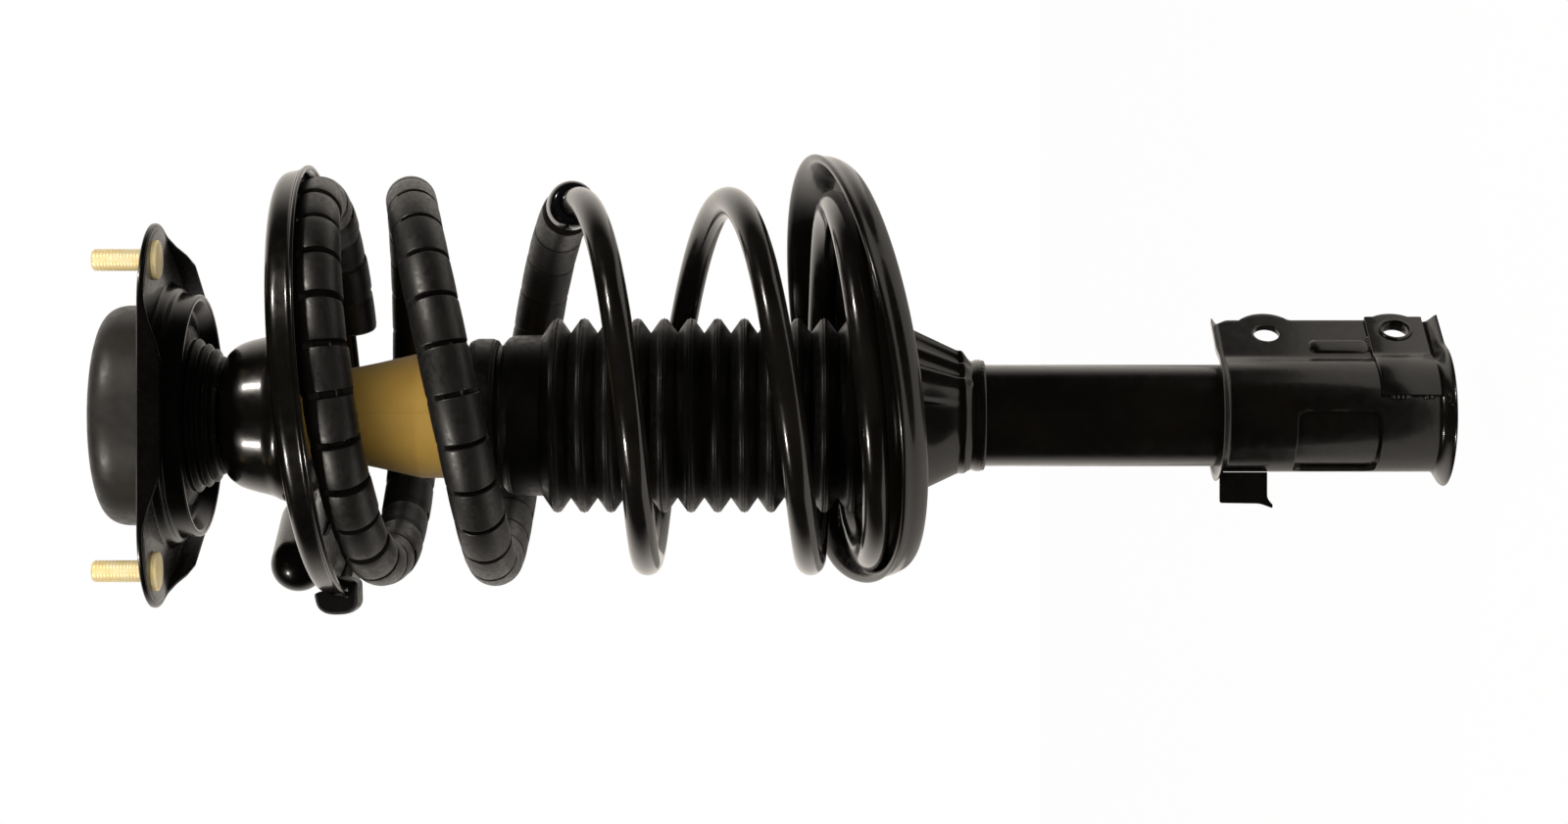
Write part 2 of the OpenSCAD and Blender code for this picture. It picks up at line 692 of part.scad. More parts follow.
// Everything above (side = 1) or below (side = -1) z = 0 of the frame it is put in.
module space(side) {
    translate([0, 0, side > 0 ? 0 : -big]) cylinder(r = big, h = big);
}
module base_ring(ri, ro) {
    translate([base_x, base_y, base_z]) ring(ri, ro, -big / 4, big / 4);
}

// Floor under the wire's end, the wall between floor and rim, and the rim with its skirt.
module lower_seat() {
    lip = 2;
    color(gloss_black) difference() {
        union() {
            intersection() {
                base_ring(0, base_wall_r);
                in_floor() translate([0, 0, -sheet]) cylinder(r = 2 * base_r, h = sheet);
            }
            difference() {
                base_ring(base_wall_r - sheet, base_wall_r);
                in_rim() space(1);
                in_floor() translate([0, 0, -sheet]) space(-1);
            }
            difference() {
                base_ring(base_wall_r - sheet, base_wall_r);
                in_floor() space(1);
                in_rim() translate([0, 0, -1.5 * lip]) space(-1);
            }
            in_rim() rotate_extrude() polygon([[base_r - 5, 0], [base_r + 1.6, 0], [base_r + 1.6, -lip],
                [base_r, -lip], [base_r, -4], [base_r - 6, -skirt], [base_r - 6 - sheet, -skirt],
                [base_r - sheet, -4], [base_r - sheet, -lip], [base_r - 5, -lip]]);
        }
        translate([0, 0, base_z - big / 2]) cylinder(r = neck_hole_r, h = big);
    }
}

neck_t = 2.4;
neck_z1 = -343.6;
neck_z2 = -368.6;
neck_end = -376.8;

module neck_solid(d) {
    rotate_extrude() polygon([[0, neck_end - d], [tube_r + neck_t - d, neck_end - d],
        [tube_r + neck_t - d, neck_z2], [38 - d, neck_z1], [neck_hole_r + neck_t - d, -333],
        [neck_hole_r + neck_t - d, -300], [0, -300]]);
}

// Hub that joins the tube to the seat, with three pressed ribs on its high side.
module seat_neck() {
    rib_r = 3.2;
    color(gloss_black) difference() {
        union() {
            neck_solid(0);
            for (a = [-78, -52, -26]) rotate(a) translate([tube_r + neck_t - 2, 0, neck_z2 + 2])
                rotate([0, 28, 0]) cylinder(r = rib_r, h = 46);
        }
        difference() {
            neck_solid(neck_t);
            translate([0, 0, neck_end - 5]) ring(tube_r + fit, tube_r + 10, 0, neck_z2 - neck_end + 5);
        }
        translate([0, 0, neck_end - 1]) cylinder(r = tube_r + fit, h = 60);
        in_floor() translate([0, 0, -sheet]) cylinder(r = big, h = big);
    }
}

// ---- knuckle bracket
wrap_r = tube_r + fit + bracket_t;
bend_x = sqrt(wrap_r * wrap_r - ear_y * ear_y);
bracket_h = bracket_top - bracket_end;
window_z = [-561.8, -525.5];
window_half = 42;           // half the window's width round the tube, in degrees

// Cross-section of the bracket, grown outwards by d.
module bracket_section(d = 0) {
    difference() {
        union() {
            circle(r = wrap_r + d);
            translate([0, -ear_y - d]) square([ear_x + lobe_r, 2 * (ear_y + d)]);
        }
        circle(r = tube_r + fit);
        translate([bend_x - 1, -ear_y + bracket_t]) square([big, 2 * (ear_y - bracket_t)]);
    }
}
// Side outline of the ears, drawn in the XZ plane.
module ear_outline(reach) {
    translate([-big, bracket_end]) square([big + reach, bracket_h]);
    for (z = [bolt_z, bolt_z - bolt_gap]) translate([bolt_x, z]) circle(r = lobe_r);
}

module bracket_slice(z, h, d, reach) {
    intersection() {
        translate([0, 0, z]) linear_extrude(h) bracket_section(d);
        translate([0, 2 * ear_y, 0]) rotate([90, 0, 0]) linear_extrude(4 * ear_y) ear_outline(reach);
    }
}

module knuckle_bracket() {
    lip = 2.4;
    bead = [10, 0.8, 28];             // width, height and length of the bead on one ear
    bead_at = [bend_x + 4.9, bolt_z - bolt_gap + 13.5];
    color(gloss_black) difference() {
        union() {
            bracket_slice(bracket_end, bracket_h, 0, ear_x);
            for (z = [bracket_end, bracket_top - lip]) bracket_slice(z, lip, flare, ear_x - 5);
            for (z = [bracket_end + lip, bracket_top - 2 * lip]) bracket_slice(z, lip, flare / 2, ear_x - 5);
            translate([bead_at.x, -ear_y - bead.y, bead_at.y]) cube([bead.x, bead.y + 1, bead.z]);
        }
        for (z = [bolt_z, bolt_z - bolt_gap]) translate([bolt_x, 2 * ear_y, z]) rotate([90, 0, 0])
            cylinder(r = bolt_r, h = 4 * ear_y);
        // rounded window in the back of the wrap
        rotate([0, 0, 180 - window_half]) translate([0, 0, window_z[0]])
            rotate_extrude(angle = 2 * window_half) square([wrap_r + 5, window_z[1] - window_z[0]]);
    }
}

strap_z = [-584.5, -559.5];
strap_t = 1.6;
strap_az = [-122, -55];     // the bent part of the strap round the wrap

// Doubler on the outer face of the near ear, bent round the wrap.
module bracket_strap() {
    strap_h = strap_z[1] - strap_z[0];
    z = strap_z[0];
    color(gloss_black) difference() {
        union() {
            translate([0, -ear_y - strap_t - fit, z]) cube([bolt_x + 11, strap_t, strap_h]);
            intersection() {
                ring(wrap_r + fit, wrap_r + fit + strap_t, z, z + strap_h);
                rotate([0, 0, strap_az[0]]) translate([0, 0, z])
                    rotate_extrude(angle = strap_az[1] - strap_az[0]) square([2 * wrap_r, strap_h]);
            }
        }
        translate([0, 0, z - 1]) cylinder(r = wrap_r + fit, h = strap_h + 2);
        translate([bolt_x, 0, bolt_z - bolt_gap]) rotate([90, 0, 0]) cylinder(r = bolt_r, h = 2 * ear_y);
        translate([bend_x - 1, -ear_y - fit, z - 1]) cube([2 * ear_x, 2 * ear_y, strap_h + 2]);
    }
}

// Hose clip welded under the wrap: a foot on the wrap and a fin that stands out from it.
module hose_clip() {
    clip_z = [-511, -488.5];
    clip_az = 128;
    fin = 15.6;
    t = 1.6;
    color(gloss_black) rotate([0, 0, clip_az]) difference() {
        union() {
            translate([wrap_r + fit, -t / 2, clip_z[0]]) cube([fin, t, clip_z[1] - clip_z[0]]);
            translate([wrap_r + fit, -7, clip_z[0]]) cube([t, 14, clip_z[1] - clip_z[0] - flare]);
            translate([wrap_r + fin - 1.4, -t / 2, clip_z[0] - 2.6]) cube([1.4, 4, 4]);
        }
        translate([0, 0, bracket_end]) cylinder(r = wrap_r + fit, h = bracket_h);
        translate([0, 0, bracket_top - 6]) cylinder(r = wrap_r + flare + gap, h = 12);
    }
}

mount_plate();
mount_housing();
mount_studs();
mount_rubber();
bearing_outer_race();
bearing_cage();
bearing_balls();
bearing_inner_race();
top_washer();
top_nut();
upper_seat();
upper_insulator();
coil_spring();
spring_sleeve();
sleeve_end_ring();
piston_rod();
bump_stop();
dust_boot();
rebound_stop();
piston();
piston_band();
piston_nut();
reserve_tube();
pressure_tube();
rod_guide();
guide_bush();
rod_seal();
striker_cap();
base_valve();
base_cap();
lower_seat();
seat_neck();
knuckle_bracket();
bracket_strap();
hose_clip();
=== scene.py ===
import math

import bmesh
import bpy
import numpy as np
from bpy.props import FloatProperty, FloatVectorProperty, PointerProperty
from mathutils import Matrix, Vector


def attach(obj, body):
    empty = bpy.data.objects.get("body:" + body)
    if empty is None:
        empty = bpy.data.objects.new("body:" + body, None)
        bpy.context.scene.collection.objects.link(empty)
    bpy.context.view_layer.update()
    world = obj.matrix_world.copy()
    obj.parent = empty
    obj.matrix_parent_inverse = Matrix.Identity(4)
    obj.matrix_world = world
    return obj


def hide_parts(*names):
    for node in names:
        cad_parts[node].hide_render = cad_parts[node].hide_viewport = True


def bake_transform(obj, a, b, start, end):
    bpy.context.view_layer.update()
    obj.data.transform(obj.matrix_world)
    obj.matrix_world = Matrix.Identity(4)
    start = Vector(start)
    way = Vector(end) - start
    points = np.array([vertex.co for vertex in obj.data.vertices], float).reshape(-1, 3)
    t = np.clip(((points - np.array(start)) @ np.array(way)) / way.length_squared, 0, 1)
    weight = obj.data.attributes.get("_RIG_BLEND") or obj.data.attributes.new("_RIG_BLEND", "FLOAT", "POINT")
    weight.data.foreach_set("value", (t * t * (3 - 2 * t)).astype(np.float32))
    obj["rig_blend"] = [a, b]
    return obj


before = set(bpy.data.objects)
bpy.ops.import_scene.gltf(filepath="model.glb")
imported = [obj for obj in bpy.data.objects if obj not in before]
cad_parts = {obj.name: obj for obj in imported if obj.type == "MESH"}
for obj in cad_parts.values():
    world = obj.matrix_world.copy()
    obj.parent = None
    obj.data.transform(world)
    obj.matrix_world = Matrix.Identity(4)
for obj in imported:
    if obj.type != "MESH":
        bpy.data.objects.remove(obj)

bl_info = {
    "name": "Suspension strut",
    "version": (1, 0, 0),
    "blender": (4, 5, 0),
    "location": "View3D > Sidebar > Strut",
    "description": "Dresses a suspension strut with its coil spring, boot, seats and brackets",
    "category": "Add Mesh",
}

MM = 0.001
TURN = 2 * np.pi

# ---- the strut's own frame, in millimetres and radians ---------------------------
# The damper's axis is x = y = 0 and the mount plate's top face is z = 0. The coil stands off
# that axis, and its turns are counted from COIL_AZ, with a lead before them and the sleeve
# ending at turn SLEEVE_END.
COIL_AXIS = np.array([19.3, -5.2])
COIL_R = 84.0
COIL_AZ = math.radians(-52)
COIL_TURNS = 4.62
COIL_LEAD = 0.2
SLEEVE_END = 1.965
TUBE_R = 23.5
# The upper seat's rim lies at SEAT_Z on the coil's axis and leans by SEAT_TILT. The lower
# seat has a rim and a floor that lean by different angles.
SEAT_Z = -73.6
SEAT_TILT = math.radians(5.2)
RIM_MID = np.array([26.0, -7.0, -313.9])
RIM_TILT = math.radians(14.7)
FLOOR_SLOPE = 0.1356
FLOOR_AZ = math.radians(-14)
FLOOR_Z = -324.15
# the side from which the camera looks
CAMERA_AZ = math.radians(218)


# ---- lines and profiles ----------------------------------------------------------
def fill(points, step, closed=False):
    """Points along a line, each straight run cut into equal steps no longer than step."""
    p = np.asarray(points, float)
    q = np.vstack([p, p[:1]]) if closed else p
    runs = np.diff(q, axis=0)
    counts = np.maximum(1, np.ceil(np.linalg.norm(runs, axis=1) / step)).astype(int)
    first = np.cumsum(counts) - counts
    share = (np.arange(counts.sum()) - np.repeat(first, counts)) / np.repeat(counts, counts)
    out = np.repeat(q[:-1], counts, axis=0) + np.repeat(runs, counts, axis=0) * share[:, None]
    return out if closed else np.vstack([out, q[-1:]])


def rounded(corners, radius, closed=True, steps=5):
    """Each corner is replaced by a quadratic curve that starts radius before it and ends
    radius after it, or at just under half of a run that is shorter."""
    p = np.asarray(corners, float)
    r = np.broadcast_to(np.asarray(radius, float), (len(p),))
    before, after = np.roll(p, 1, 0) - p, np.roll(p, -1, 0) - p
    lb, la = np.linalg.norm(before, axis=1), np.linalg.norm(after, axis=1)
    a = p + before * (np.minimum(r, 0.48 * lb) / lb)[:, None]
    b = p + after * (np.minimum(r, 0.48 * la) / la)[:, None]
    t = np.linspace(0, 1, steps)[None, :, None]
    curve = (1 - t) ** 2 * a[:, None] + 2 * t * (1 - t) * p[:, None] + t * t * b[:, None]
    out = curve.reshape(-1, p.shape[1])
    return out if closed else np.vstack([p[:1], out[steps:-steps], p[-1:]])


def outward(line, closed=False):
    """Unit normals of a flat line, to the right of its direction, from the chord through
    each point's two neighbours."""
    p = np.asarray(line, float)
    d = np.roll(p, -1, 0) - np.roll(p, 1, 0) if closed else np.gradient(p, axis=0)
    n = np.stack([d[:, 1], -d[:, 0]], -1)
    return n / np.maximum(np.linalg.norm(n, axis=1), 1e-9)[:, None]


def walled(line, wall):
    """A line and the same line moved to its right by the wall's thickness, joined into a loop."""
    p = np.asarray(line, float)
    return np.vstack([p, (p + outward(p) * wall)[::-1]])


def area(p):
    """Area inside a flat loop, negative where the loop runs clockwise."""
    q = np.roll(p, -1, 0)
    return 0.5 * float(np.sum(p[:, 0] * q[:, 1] - p[:, 1] * q[:, 0]))


def smooth(x):
    """0 below 0 and 1 above 1, with a level start and end between: 3 x squared less 2 x cubed."""
    t = np.clip(x, 0, 1)
    return t * t * (3 - 2 * t)


def eased(x):
    """The integral of smooth(), a straight line of slope 1 above 1."""
    t = np.clip(x, 0, 1)
    return np.where(x < 1, t**3 - t**4 / 2, x - 0.5)


def bump(x, width):
    """A bell of height 1 about 0."""
    return np.exp(-((x / width) ** 2))


def bell_at(t, azimuth, width):
    """A bell about an azimuth, over the shorter way round the circle. All in radians."""
    return bump((t - azimuth + np.pi) % TURN - np.pi, width)


# ---- surfaces ----------------------------------------------------------------------
def polar(r, t, z):
    """x = r cos t, y = r sin t and z, for arrays or numbers that share one shape."""
    r, t, z = np.broadcast_arrays(r, t, z)
    return np.stack([r * np.cos(t), r * np.sin(t), z], -1)


def around(first, second, sides):
    """Directions round a section: cos t of the first direction plus sin t of the second."""
    t = (np.arange(sides) * TURN / sides)[:, None]
    return np.cos(t) * first[..., None, :] + np.sin(t) * second[..., None, :]


def at_height(outline, z):
    """Flat points (x, y) at a height, which is one number or one for each point."""
    return np.column_stack([outline, np.broadcast_to(z, len(outline))])


def quads(rows, cols, wrap_rows=True, wrap_cols=True):
    """Faces of a grid of rows times cols points."""
    i = np.arange(rows if wrap_rows else rows - 1)
    j = np.arange(cols if wrap_cols else cols - 1)
    a, b = np.meshgrid(i, j, indexing="ij")
    c, d = (a + 1) % rows, (b + 1) % cols
    return np.stack([a * cols + b, a * cols + d, c * cols + d, c * cols + b], -1).reshape(-1, 4)


def with_lids(rows, cols):
    """Faces of rows of closed loops, with one face over each end."""
    first, last = range(cols), range((rows - 1) * cols, rows * cols)
    return [*quads(rows, cols, False, True).tolist(), list(first), list(last)]


def with_walled_ends(rows, cols):
    """Faces of rows of loops that are walled lines, each end closed by a strip of faces from
    one side of the wall to the other."""
    i = np.arange(cols // 2 - 1)
    strip = np.stack([i, i + 1, cols - 2 - i, cols - 1 - i], -1)
    return np.vstack([quads(rows, cols, False, True), strip, strip + (rows - 1) * cols])


def revolved(profile, count=192, ripple=None):
    """Each (r, z) of the profile carried round the axis; ripple(t, r, z) adds to r."""
    p = np.asarray(profile, float)
    t = np.arange(count) * TURN / count
    r, z = p[:, :1], p[:, 1:2]
    if ripple is not None:
        r = r + ripple(t, r, z)
    return polar(r, t, z)


def leaning(azimuth, angle):
    """Rotation that lifts the side at azimuth by angle."""
    to_azimuth = Matrix.Rotation(azimuth, 3, "Z")
    return np.array(to_azimuth @ Matrix.Rotation(-angle, 3, "Y") @ to_azimuth.transposed())


def placed(points, rotation, place):
    """Points turned about the origin and then moved to a place."""
    return points @ rotation.T + np.asarray(place, float)


SEAT_LEAN = leaning(COIL_AZ, SEAT_TILT)
RIM_LEAN = leaning(0, RIM_TILT)
FLOOR_LEAN = leaning(FLOOR_AZ, math.atan(FLOOR_SLOPE))
FLOOR_WAY = np.array([math.cos(FLOOR_AZ), math.sin(FLOOR_AZ)])


def added(name, data):
    """A new object in the scene that shows the data."""
    shown = bpy.data.objects.new(name, data)
    bpy.context.scene.collection.objects.link(shown)
    return shown


def new_mesh(name, points, faces):
    """A mesh from points in millimetres and faces as a list or an array of point numbers."""
    mesh = bpy.data.meshes.new(name)
    flat = np.asarray(points, float).reshape(-1, 3) * MM
    mesh.from_pydata(flat.tolist(), [], faces if isinstance(faces, list) else faces.tolist())
    return mesh


def shade(mesh, crease):
    """Smooth shading with sharp edges where two faces meet at more than crease degrees."""
    mesh.shade_smooth()
    mesh.set_sharp_from_angle(angle=math.radians(crease))


def make(name, points, faces, finish_name, body, replaces=(), crease=35, share=None):
    """One mesh object from points in millimetres; doubles are merged and faces point outwards."""
    mesh = new_mesh(name, points, faces)
    if share is not None:
        kept = mesh.attributes.new("share", "FLOAT", "POINT")
        kept.data.foreach_set("value", np.asarray(share, np.float32).ravel())
    work = bmesh.new()
    work.from_mesh(mesh)
    bmesh.ops.remove_doubles(work, verts=work.verts, dist=2e-6)
    bmesh.ops.dissolve_degenerate(work, edges=work.edges, dist=1e-7)
    bmesh.ops.recalc_face_normals(work, faces=work.faces)
    work.to_mesh(mesh)
    work.free()
    shade(mesh, crease)
    piece = added(name, mesh)
    mesh.materials.append(FINISHES[finish_name])
    if body:
        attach(piece, body)
    if replaces:
        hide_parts(*replaces)
    return piece


def ring_piece(name, loop, finish_name, body, replaces=(), count=192, ripple=None, **more):
    """A closed section carried round the strut's axis."""
    grid = revolved(loop, count, ripple)
    return make(name, grid, quads(len(loop), count), finish_name, body, replaces, **more)


def bend_with(piece, weights, low, high):
    """The piece follows the rod where its weight is 0 and the damper where it is 1."""
    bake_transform(piece, "rod", "damper", start=(0, 0, high * MM), end=(0, 0, low * MM))
    attributes = piece.data.attributes
    kept = np.zeros(len(piece.data.vertices), np.float32)
    attributes["share"].data.foreach_get("value", kept)
    attributes["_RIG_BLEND"].data.foreach_set("value", weights(kept).astype(np.float32))
    attributes.remove(attributes["share"])


def cut(piece, cutters, broken_edge=0.35):
    """Cuts closed meshes out of a piece and breaks the edges that the cuts leave."""
    tools = []
    for points, faces in cutters:
        mesh = new_mesh("cutter", points, faces)
        work = bmesh.new()
        work.from_mesh(mesh)
        bmesh.ops.recalc_face_normals(work, faces=work.faces)
        work.to_mesh(mesh)
        work.free()
        tool = added("cutter", mesh)
        step = piece.modifiers.new("cut", "BOOLEAN")
        step.operation, step.solver, step.object = "DIFFERENCE", "EXACT", tool
        tools.append(tool)
    if broken_edge:
        edge = piece.modifiers.new("edge", "BEVEL")
        edge.width, edge.segments, edge.limit_method = broken_edge * MM, 2, "ANGLE"
        edge.angle_limit = math.radians(50)
    bpy.context.view_layer.update()
    evaluated = piece.evaluated_get(bpy.context.evaluated_depsgraph_get())
    done = bpy.data.meshes.new_from_object(evaluated)
    piece.modifiers.clear()
    piece.data = done
    shade(done, 24)
    for tool in tools:
        bpy.data.objects.remove(tool)


def prism(outline, low, high):
    """An outline in (x, y) between two heights, with one face at each end."""
    return np.vstack([at_height(outline, low), at_height(outline, high)]), with_lids(2, len(outline))


def slab(outline, low, high, edge=0.3):
    """A prism whose rims are drawn in by edge, so that its edges are broken."""
    p = np.asarray(outline, float)
    inside = p - outward(p, True) * edge * (1 if area(p) > 0 else -1)
    rows = ((inside, low), (p, low + edge), (p, high - edge), (inside, high))
    return np.vstack([at_height(q, z) for q, z in rows]), with_lids(4, len(p))


# ---- the coil --------------------------------------------------------------------
# pitches in millimetres a turn, and the turns of the wire at which and over which they change
SEATED_PITCH = 34.0
FREE_PITCH = 71.3
LAST_PITCH = 2.0
CLOSED_PITCH = 20
LEAD_IN = 0.2
OPENS_AT, OPENS_OVER = 0.22, 1.18
CLOSES_AT, CLOSES_OVER = 3.64, 0.3
COIL_TOP_Z = -76.3
SEATED_SLOPE = 0.075
FREE_SLOPE = 0.12
FREE_AZ = math.radians(44)
LAST_TURN_DRAW = 2.5
COIL_LOW_Z, COIL_HIGH_Z = -330, -70


def coil_drop(n):
    """Fall of the coil's middle line by turn n: a steady fall in the seat, which opens
    to the free pitch and closes again on the lower seat."""
    return (
        SEATED_PITCH * LEAD_IN * eased(n / LEAD_IN + 0.5)
        + (FREE_PITCH - SEATED_PITCH) * OPENS_OVER * eased((n - OPENS_AT) / OPENS_OVER)
        - (FREE_PITCH - LAST_PITCH) * CLOSES_OVER * eased((n - CLOSES_AT) / CLOSES_OVER)
    )


def coil_line(n):
    """Middle of the wire n turns after the seat's high side: a circle about the coil's
    axis whose height is the fall so far plus three leans that blend into one another.
    The last turn is drawn in."""
    n = np.asarray(n, float)
    a = COIL_AZ - TURN * n
    free = smooth((n - 1) / 0.58)
    landed = smooth((n - 2.53) / 2)
    lean = (
        SEATED_SLOPE * np.cos(a - COIL_AZ) * (1 - free)
        + FREE_SLOPE * np.cos(a - FREE_AZ) * (free - landed)
        + FLOOR_SLOPE * np.cos(a - FLOOR_AZ) * landed
    )
    r = COIL_R - LAST_TURN_DRAW * smooth(n - 3.4)
    return polar(r, a, COIL_TOP_Z - coil_drop(n) + COIL_R * lean) + (*COIL_AXIS, 0)


def coil_frames(n):
    """Middle, outward and third direction of the wire at each turn n, square to its line."""
    n = np.asarray(n, float)
    along = coil_line(n + 1e-4) - coil_line(n - 1e-4)
    along /= np.linalg.norm(along, axis=1)[:, None]
    out = polar(1, COIL_AZ - TURN * n, 0)
    out -= np.sum(out * along, 1)[:, None] * along
    out /= np.linalg.norm(out, axis=1)[:, None]
    return coil_line(n), out, np.cross(along, out)


def wire(n, radius, sides=32):
    """A round section carried along the coil's line; radius has one value for each n."""
    mid, out, side = coil_frames(n)
    return mid[:, None] + np.asarray(radius)[:, None, None] * around(out, side, sides)


def stroke_share(n):
    """How far turn n follows the damper: the free turns close up, and the turns that lie in
    the seats keep their pitch."""
    grid = np.linspace(-1, 6, 1401)
    pitch = np.gradient(coil_drop(grid), grid)
    closing = np.cumsum(np.maximum(pitch - CLOSED_PITCH, 0) * (grid > 0.1))
    return np.interp(n, grid, closing / closing[-1])


def coil_piece(name, grid, n, sides, finish_name, replaced, closed, crease=35):
    """A piece on the wire. n gives the turn of each ring of the grid, and the piece closes
    up with the spring."""
    share = np.repeat(n[:, None], sides, 1)
    faces = quads(len(grid), sides, closed, True)
    piece = make(name, grid, faces, finish_name, None, replaced, crease=crease, share=share)
    bend_with(piece, stroke_share, COIL_LOW_Z, COIL_HIGH_Z)


# ---- finishes --------------------------------------------------------------------
NOISE, CELLS = "ShaderNodeTexNoise", "ShaderNodeTexVoronoi"
FINISHES = {}


def finish(
    name,
    colour,
    rough,
    *,
    second,
    metal=0.0,
    specular=0.5,
    coat=0.0,
    coat_rough=0.12,
    patch=40.0,
    amount=0.5,
    rough_spread=0.05,
    bumps=(),
    wear_and_edge_highlight=None,
    specks=None,
    sheen=0.0,
):
    """A procedural finish on Object coordinates: two colours mixed by noise, roughness
    spread by finer noise, layers of bump, lighter sharp edges and specks of dust. The lighter
    edges are wear on the gloss enamel and a painted edge highlight on the satin steel."""
    made = bpy.data.materials.new(name)
    made.use_nodes = True
    nodes, links = made.node_tree.nodes, made.node_tree.links
    shader = nodes["Principled BSDF"]
    shader.inputs["Metallic"].default_value = metal
    shader.inputs["Specular IOR Level"].default_value = specular
    shader.inputs["Coat Weight"].default_value = coat
    shader.inputs["Coat Roughness"].default_value = coat_rough
    shader.inputs["Sheen Weight"].default_value = sheen
    where = nodes.new("ShaderNodeTexCoord")

    def noise(scale, detail=4.0, kind=NOISE):
        """A noise or cell texture on Object coordinates."""
        node = nodes.new(kind)
        node.inputs["Scale"].default_value = scale
        if "Detail" in node.inputs:
            node.inputs["Detail"].default_value = detail
        links.new(where.outputs["Object"], node.inputs["Vector"])
        return node

    def spread(value, low, high, to_low, to_high):
        """A value mapped straight from low..high to to_low..to_high."""
        node = nodes.new("ShaderNodeMapRange")
        links.new(value, node.inputs["Value"])
        for key, number in zip(("From Min", "From Max", "To Min", "To Max"), (low, high, to_low, to_high)):
            node.inputs[key].default_value = number
        return node.outputs["Result"]

    def blend(factor, first, other):
        """Two colours or sockets mixed by a factor."""
        node = nodes.new("ShaderNodeMix")
        node.data_type = "RGBA"
        links.new(factor, node.inputs["Factor"])
        for socket, value in ((node.inputs[6], first), (node.inputs[7], other)):
            if isinstance(value, bpy.types.NodeSocket):
                links.new(value, socket)
            else:
                socket.default_value = (*value, 1.0)
        return node.outputs[2]

    patches = noise(patch, 5.0).outputs["Fac"]
    base = blend(spread(patches, 0.35, 0.65, 0.0, amount), colour, second)
    if specks:
        dots = noise(specks[0], kind=CELLS)
        near = spread(dots.outputs["Distance"], 0.0, specks[1], 1.0, 0.0)
        base = blend(near, base, specks[2])
    # sharp edges mixed to a lighter colour: wear on the gloss enamel, a painted edge highlight on the satin
    # steel
    if wear_and_edge_highlight:
        edge = nodes.new("ShaderNodeNewGeometry").outputs["Pointiness"]
        base = blend(spread(edge, 0.58, 0.7, 0.0, wear_and_edge_highlight[0]), base, wear_and_edge_highlight[1])
    links.new(base, shader.inputs["Base Color"])
    fine = noise(patch * 7, 3.0).outputs["Fac"]
    smoothest = max(0.02, rough - rough_spread)
    links.new(spread(fine, 0.3, 0.7, smoothest, rough + rough_spread), shader.inputs["Roughness"])
    last = None
    for scale, strength, depth, kind in bumps:
        node = nodes.new("ShaderNodeBump")
        node.inputs["Strength"].default_value = strength
        node.inputs["Distance"].default_value = depth * MM
        texture = noise(scale, 3.0, kind)
        links.new(texture.outputs["Distance" if kind == CELLS else "Fac"], node.inputs["Height"])
        if last:
            links.new(last, node.inputs["Normal"])
        last = node.outputs["Normal"]
    if last:
        links.new(last, shader.inputs["Normal"])
        if coat:
            links.new(last, shader.inputs["Coat Normal"])
    FINISHES[name] = made


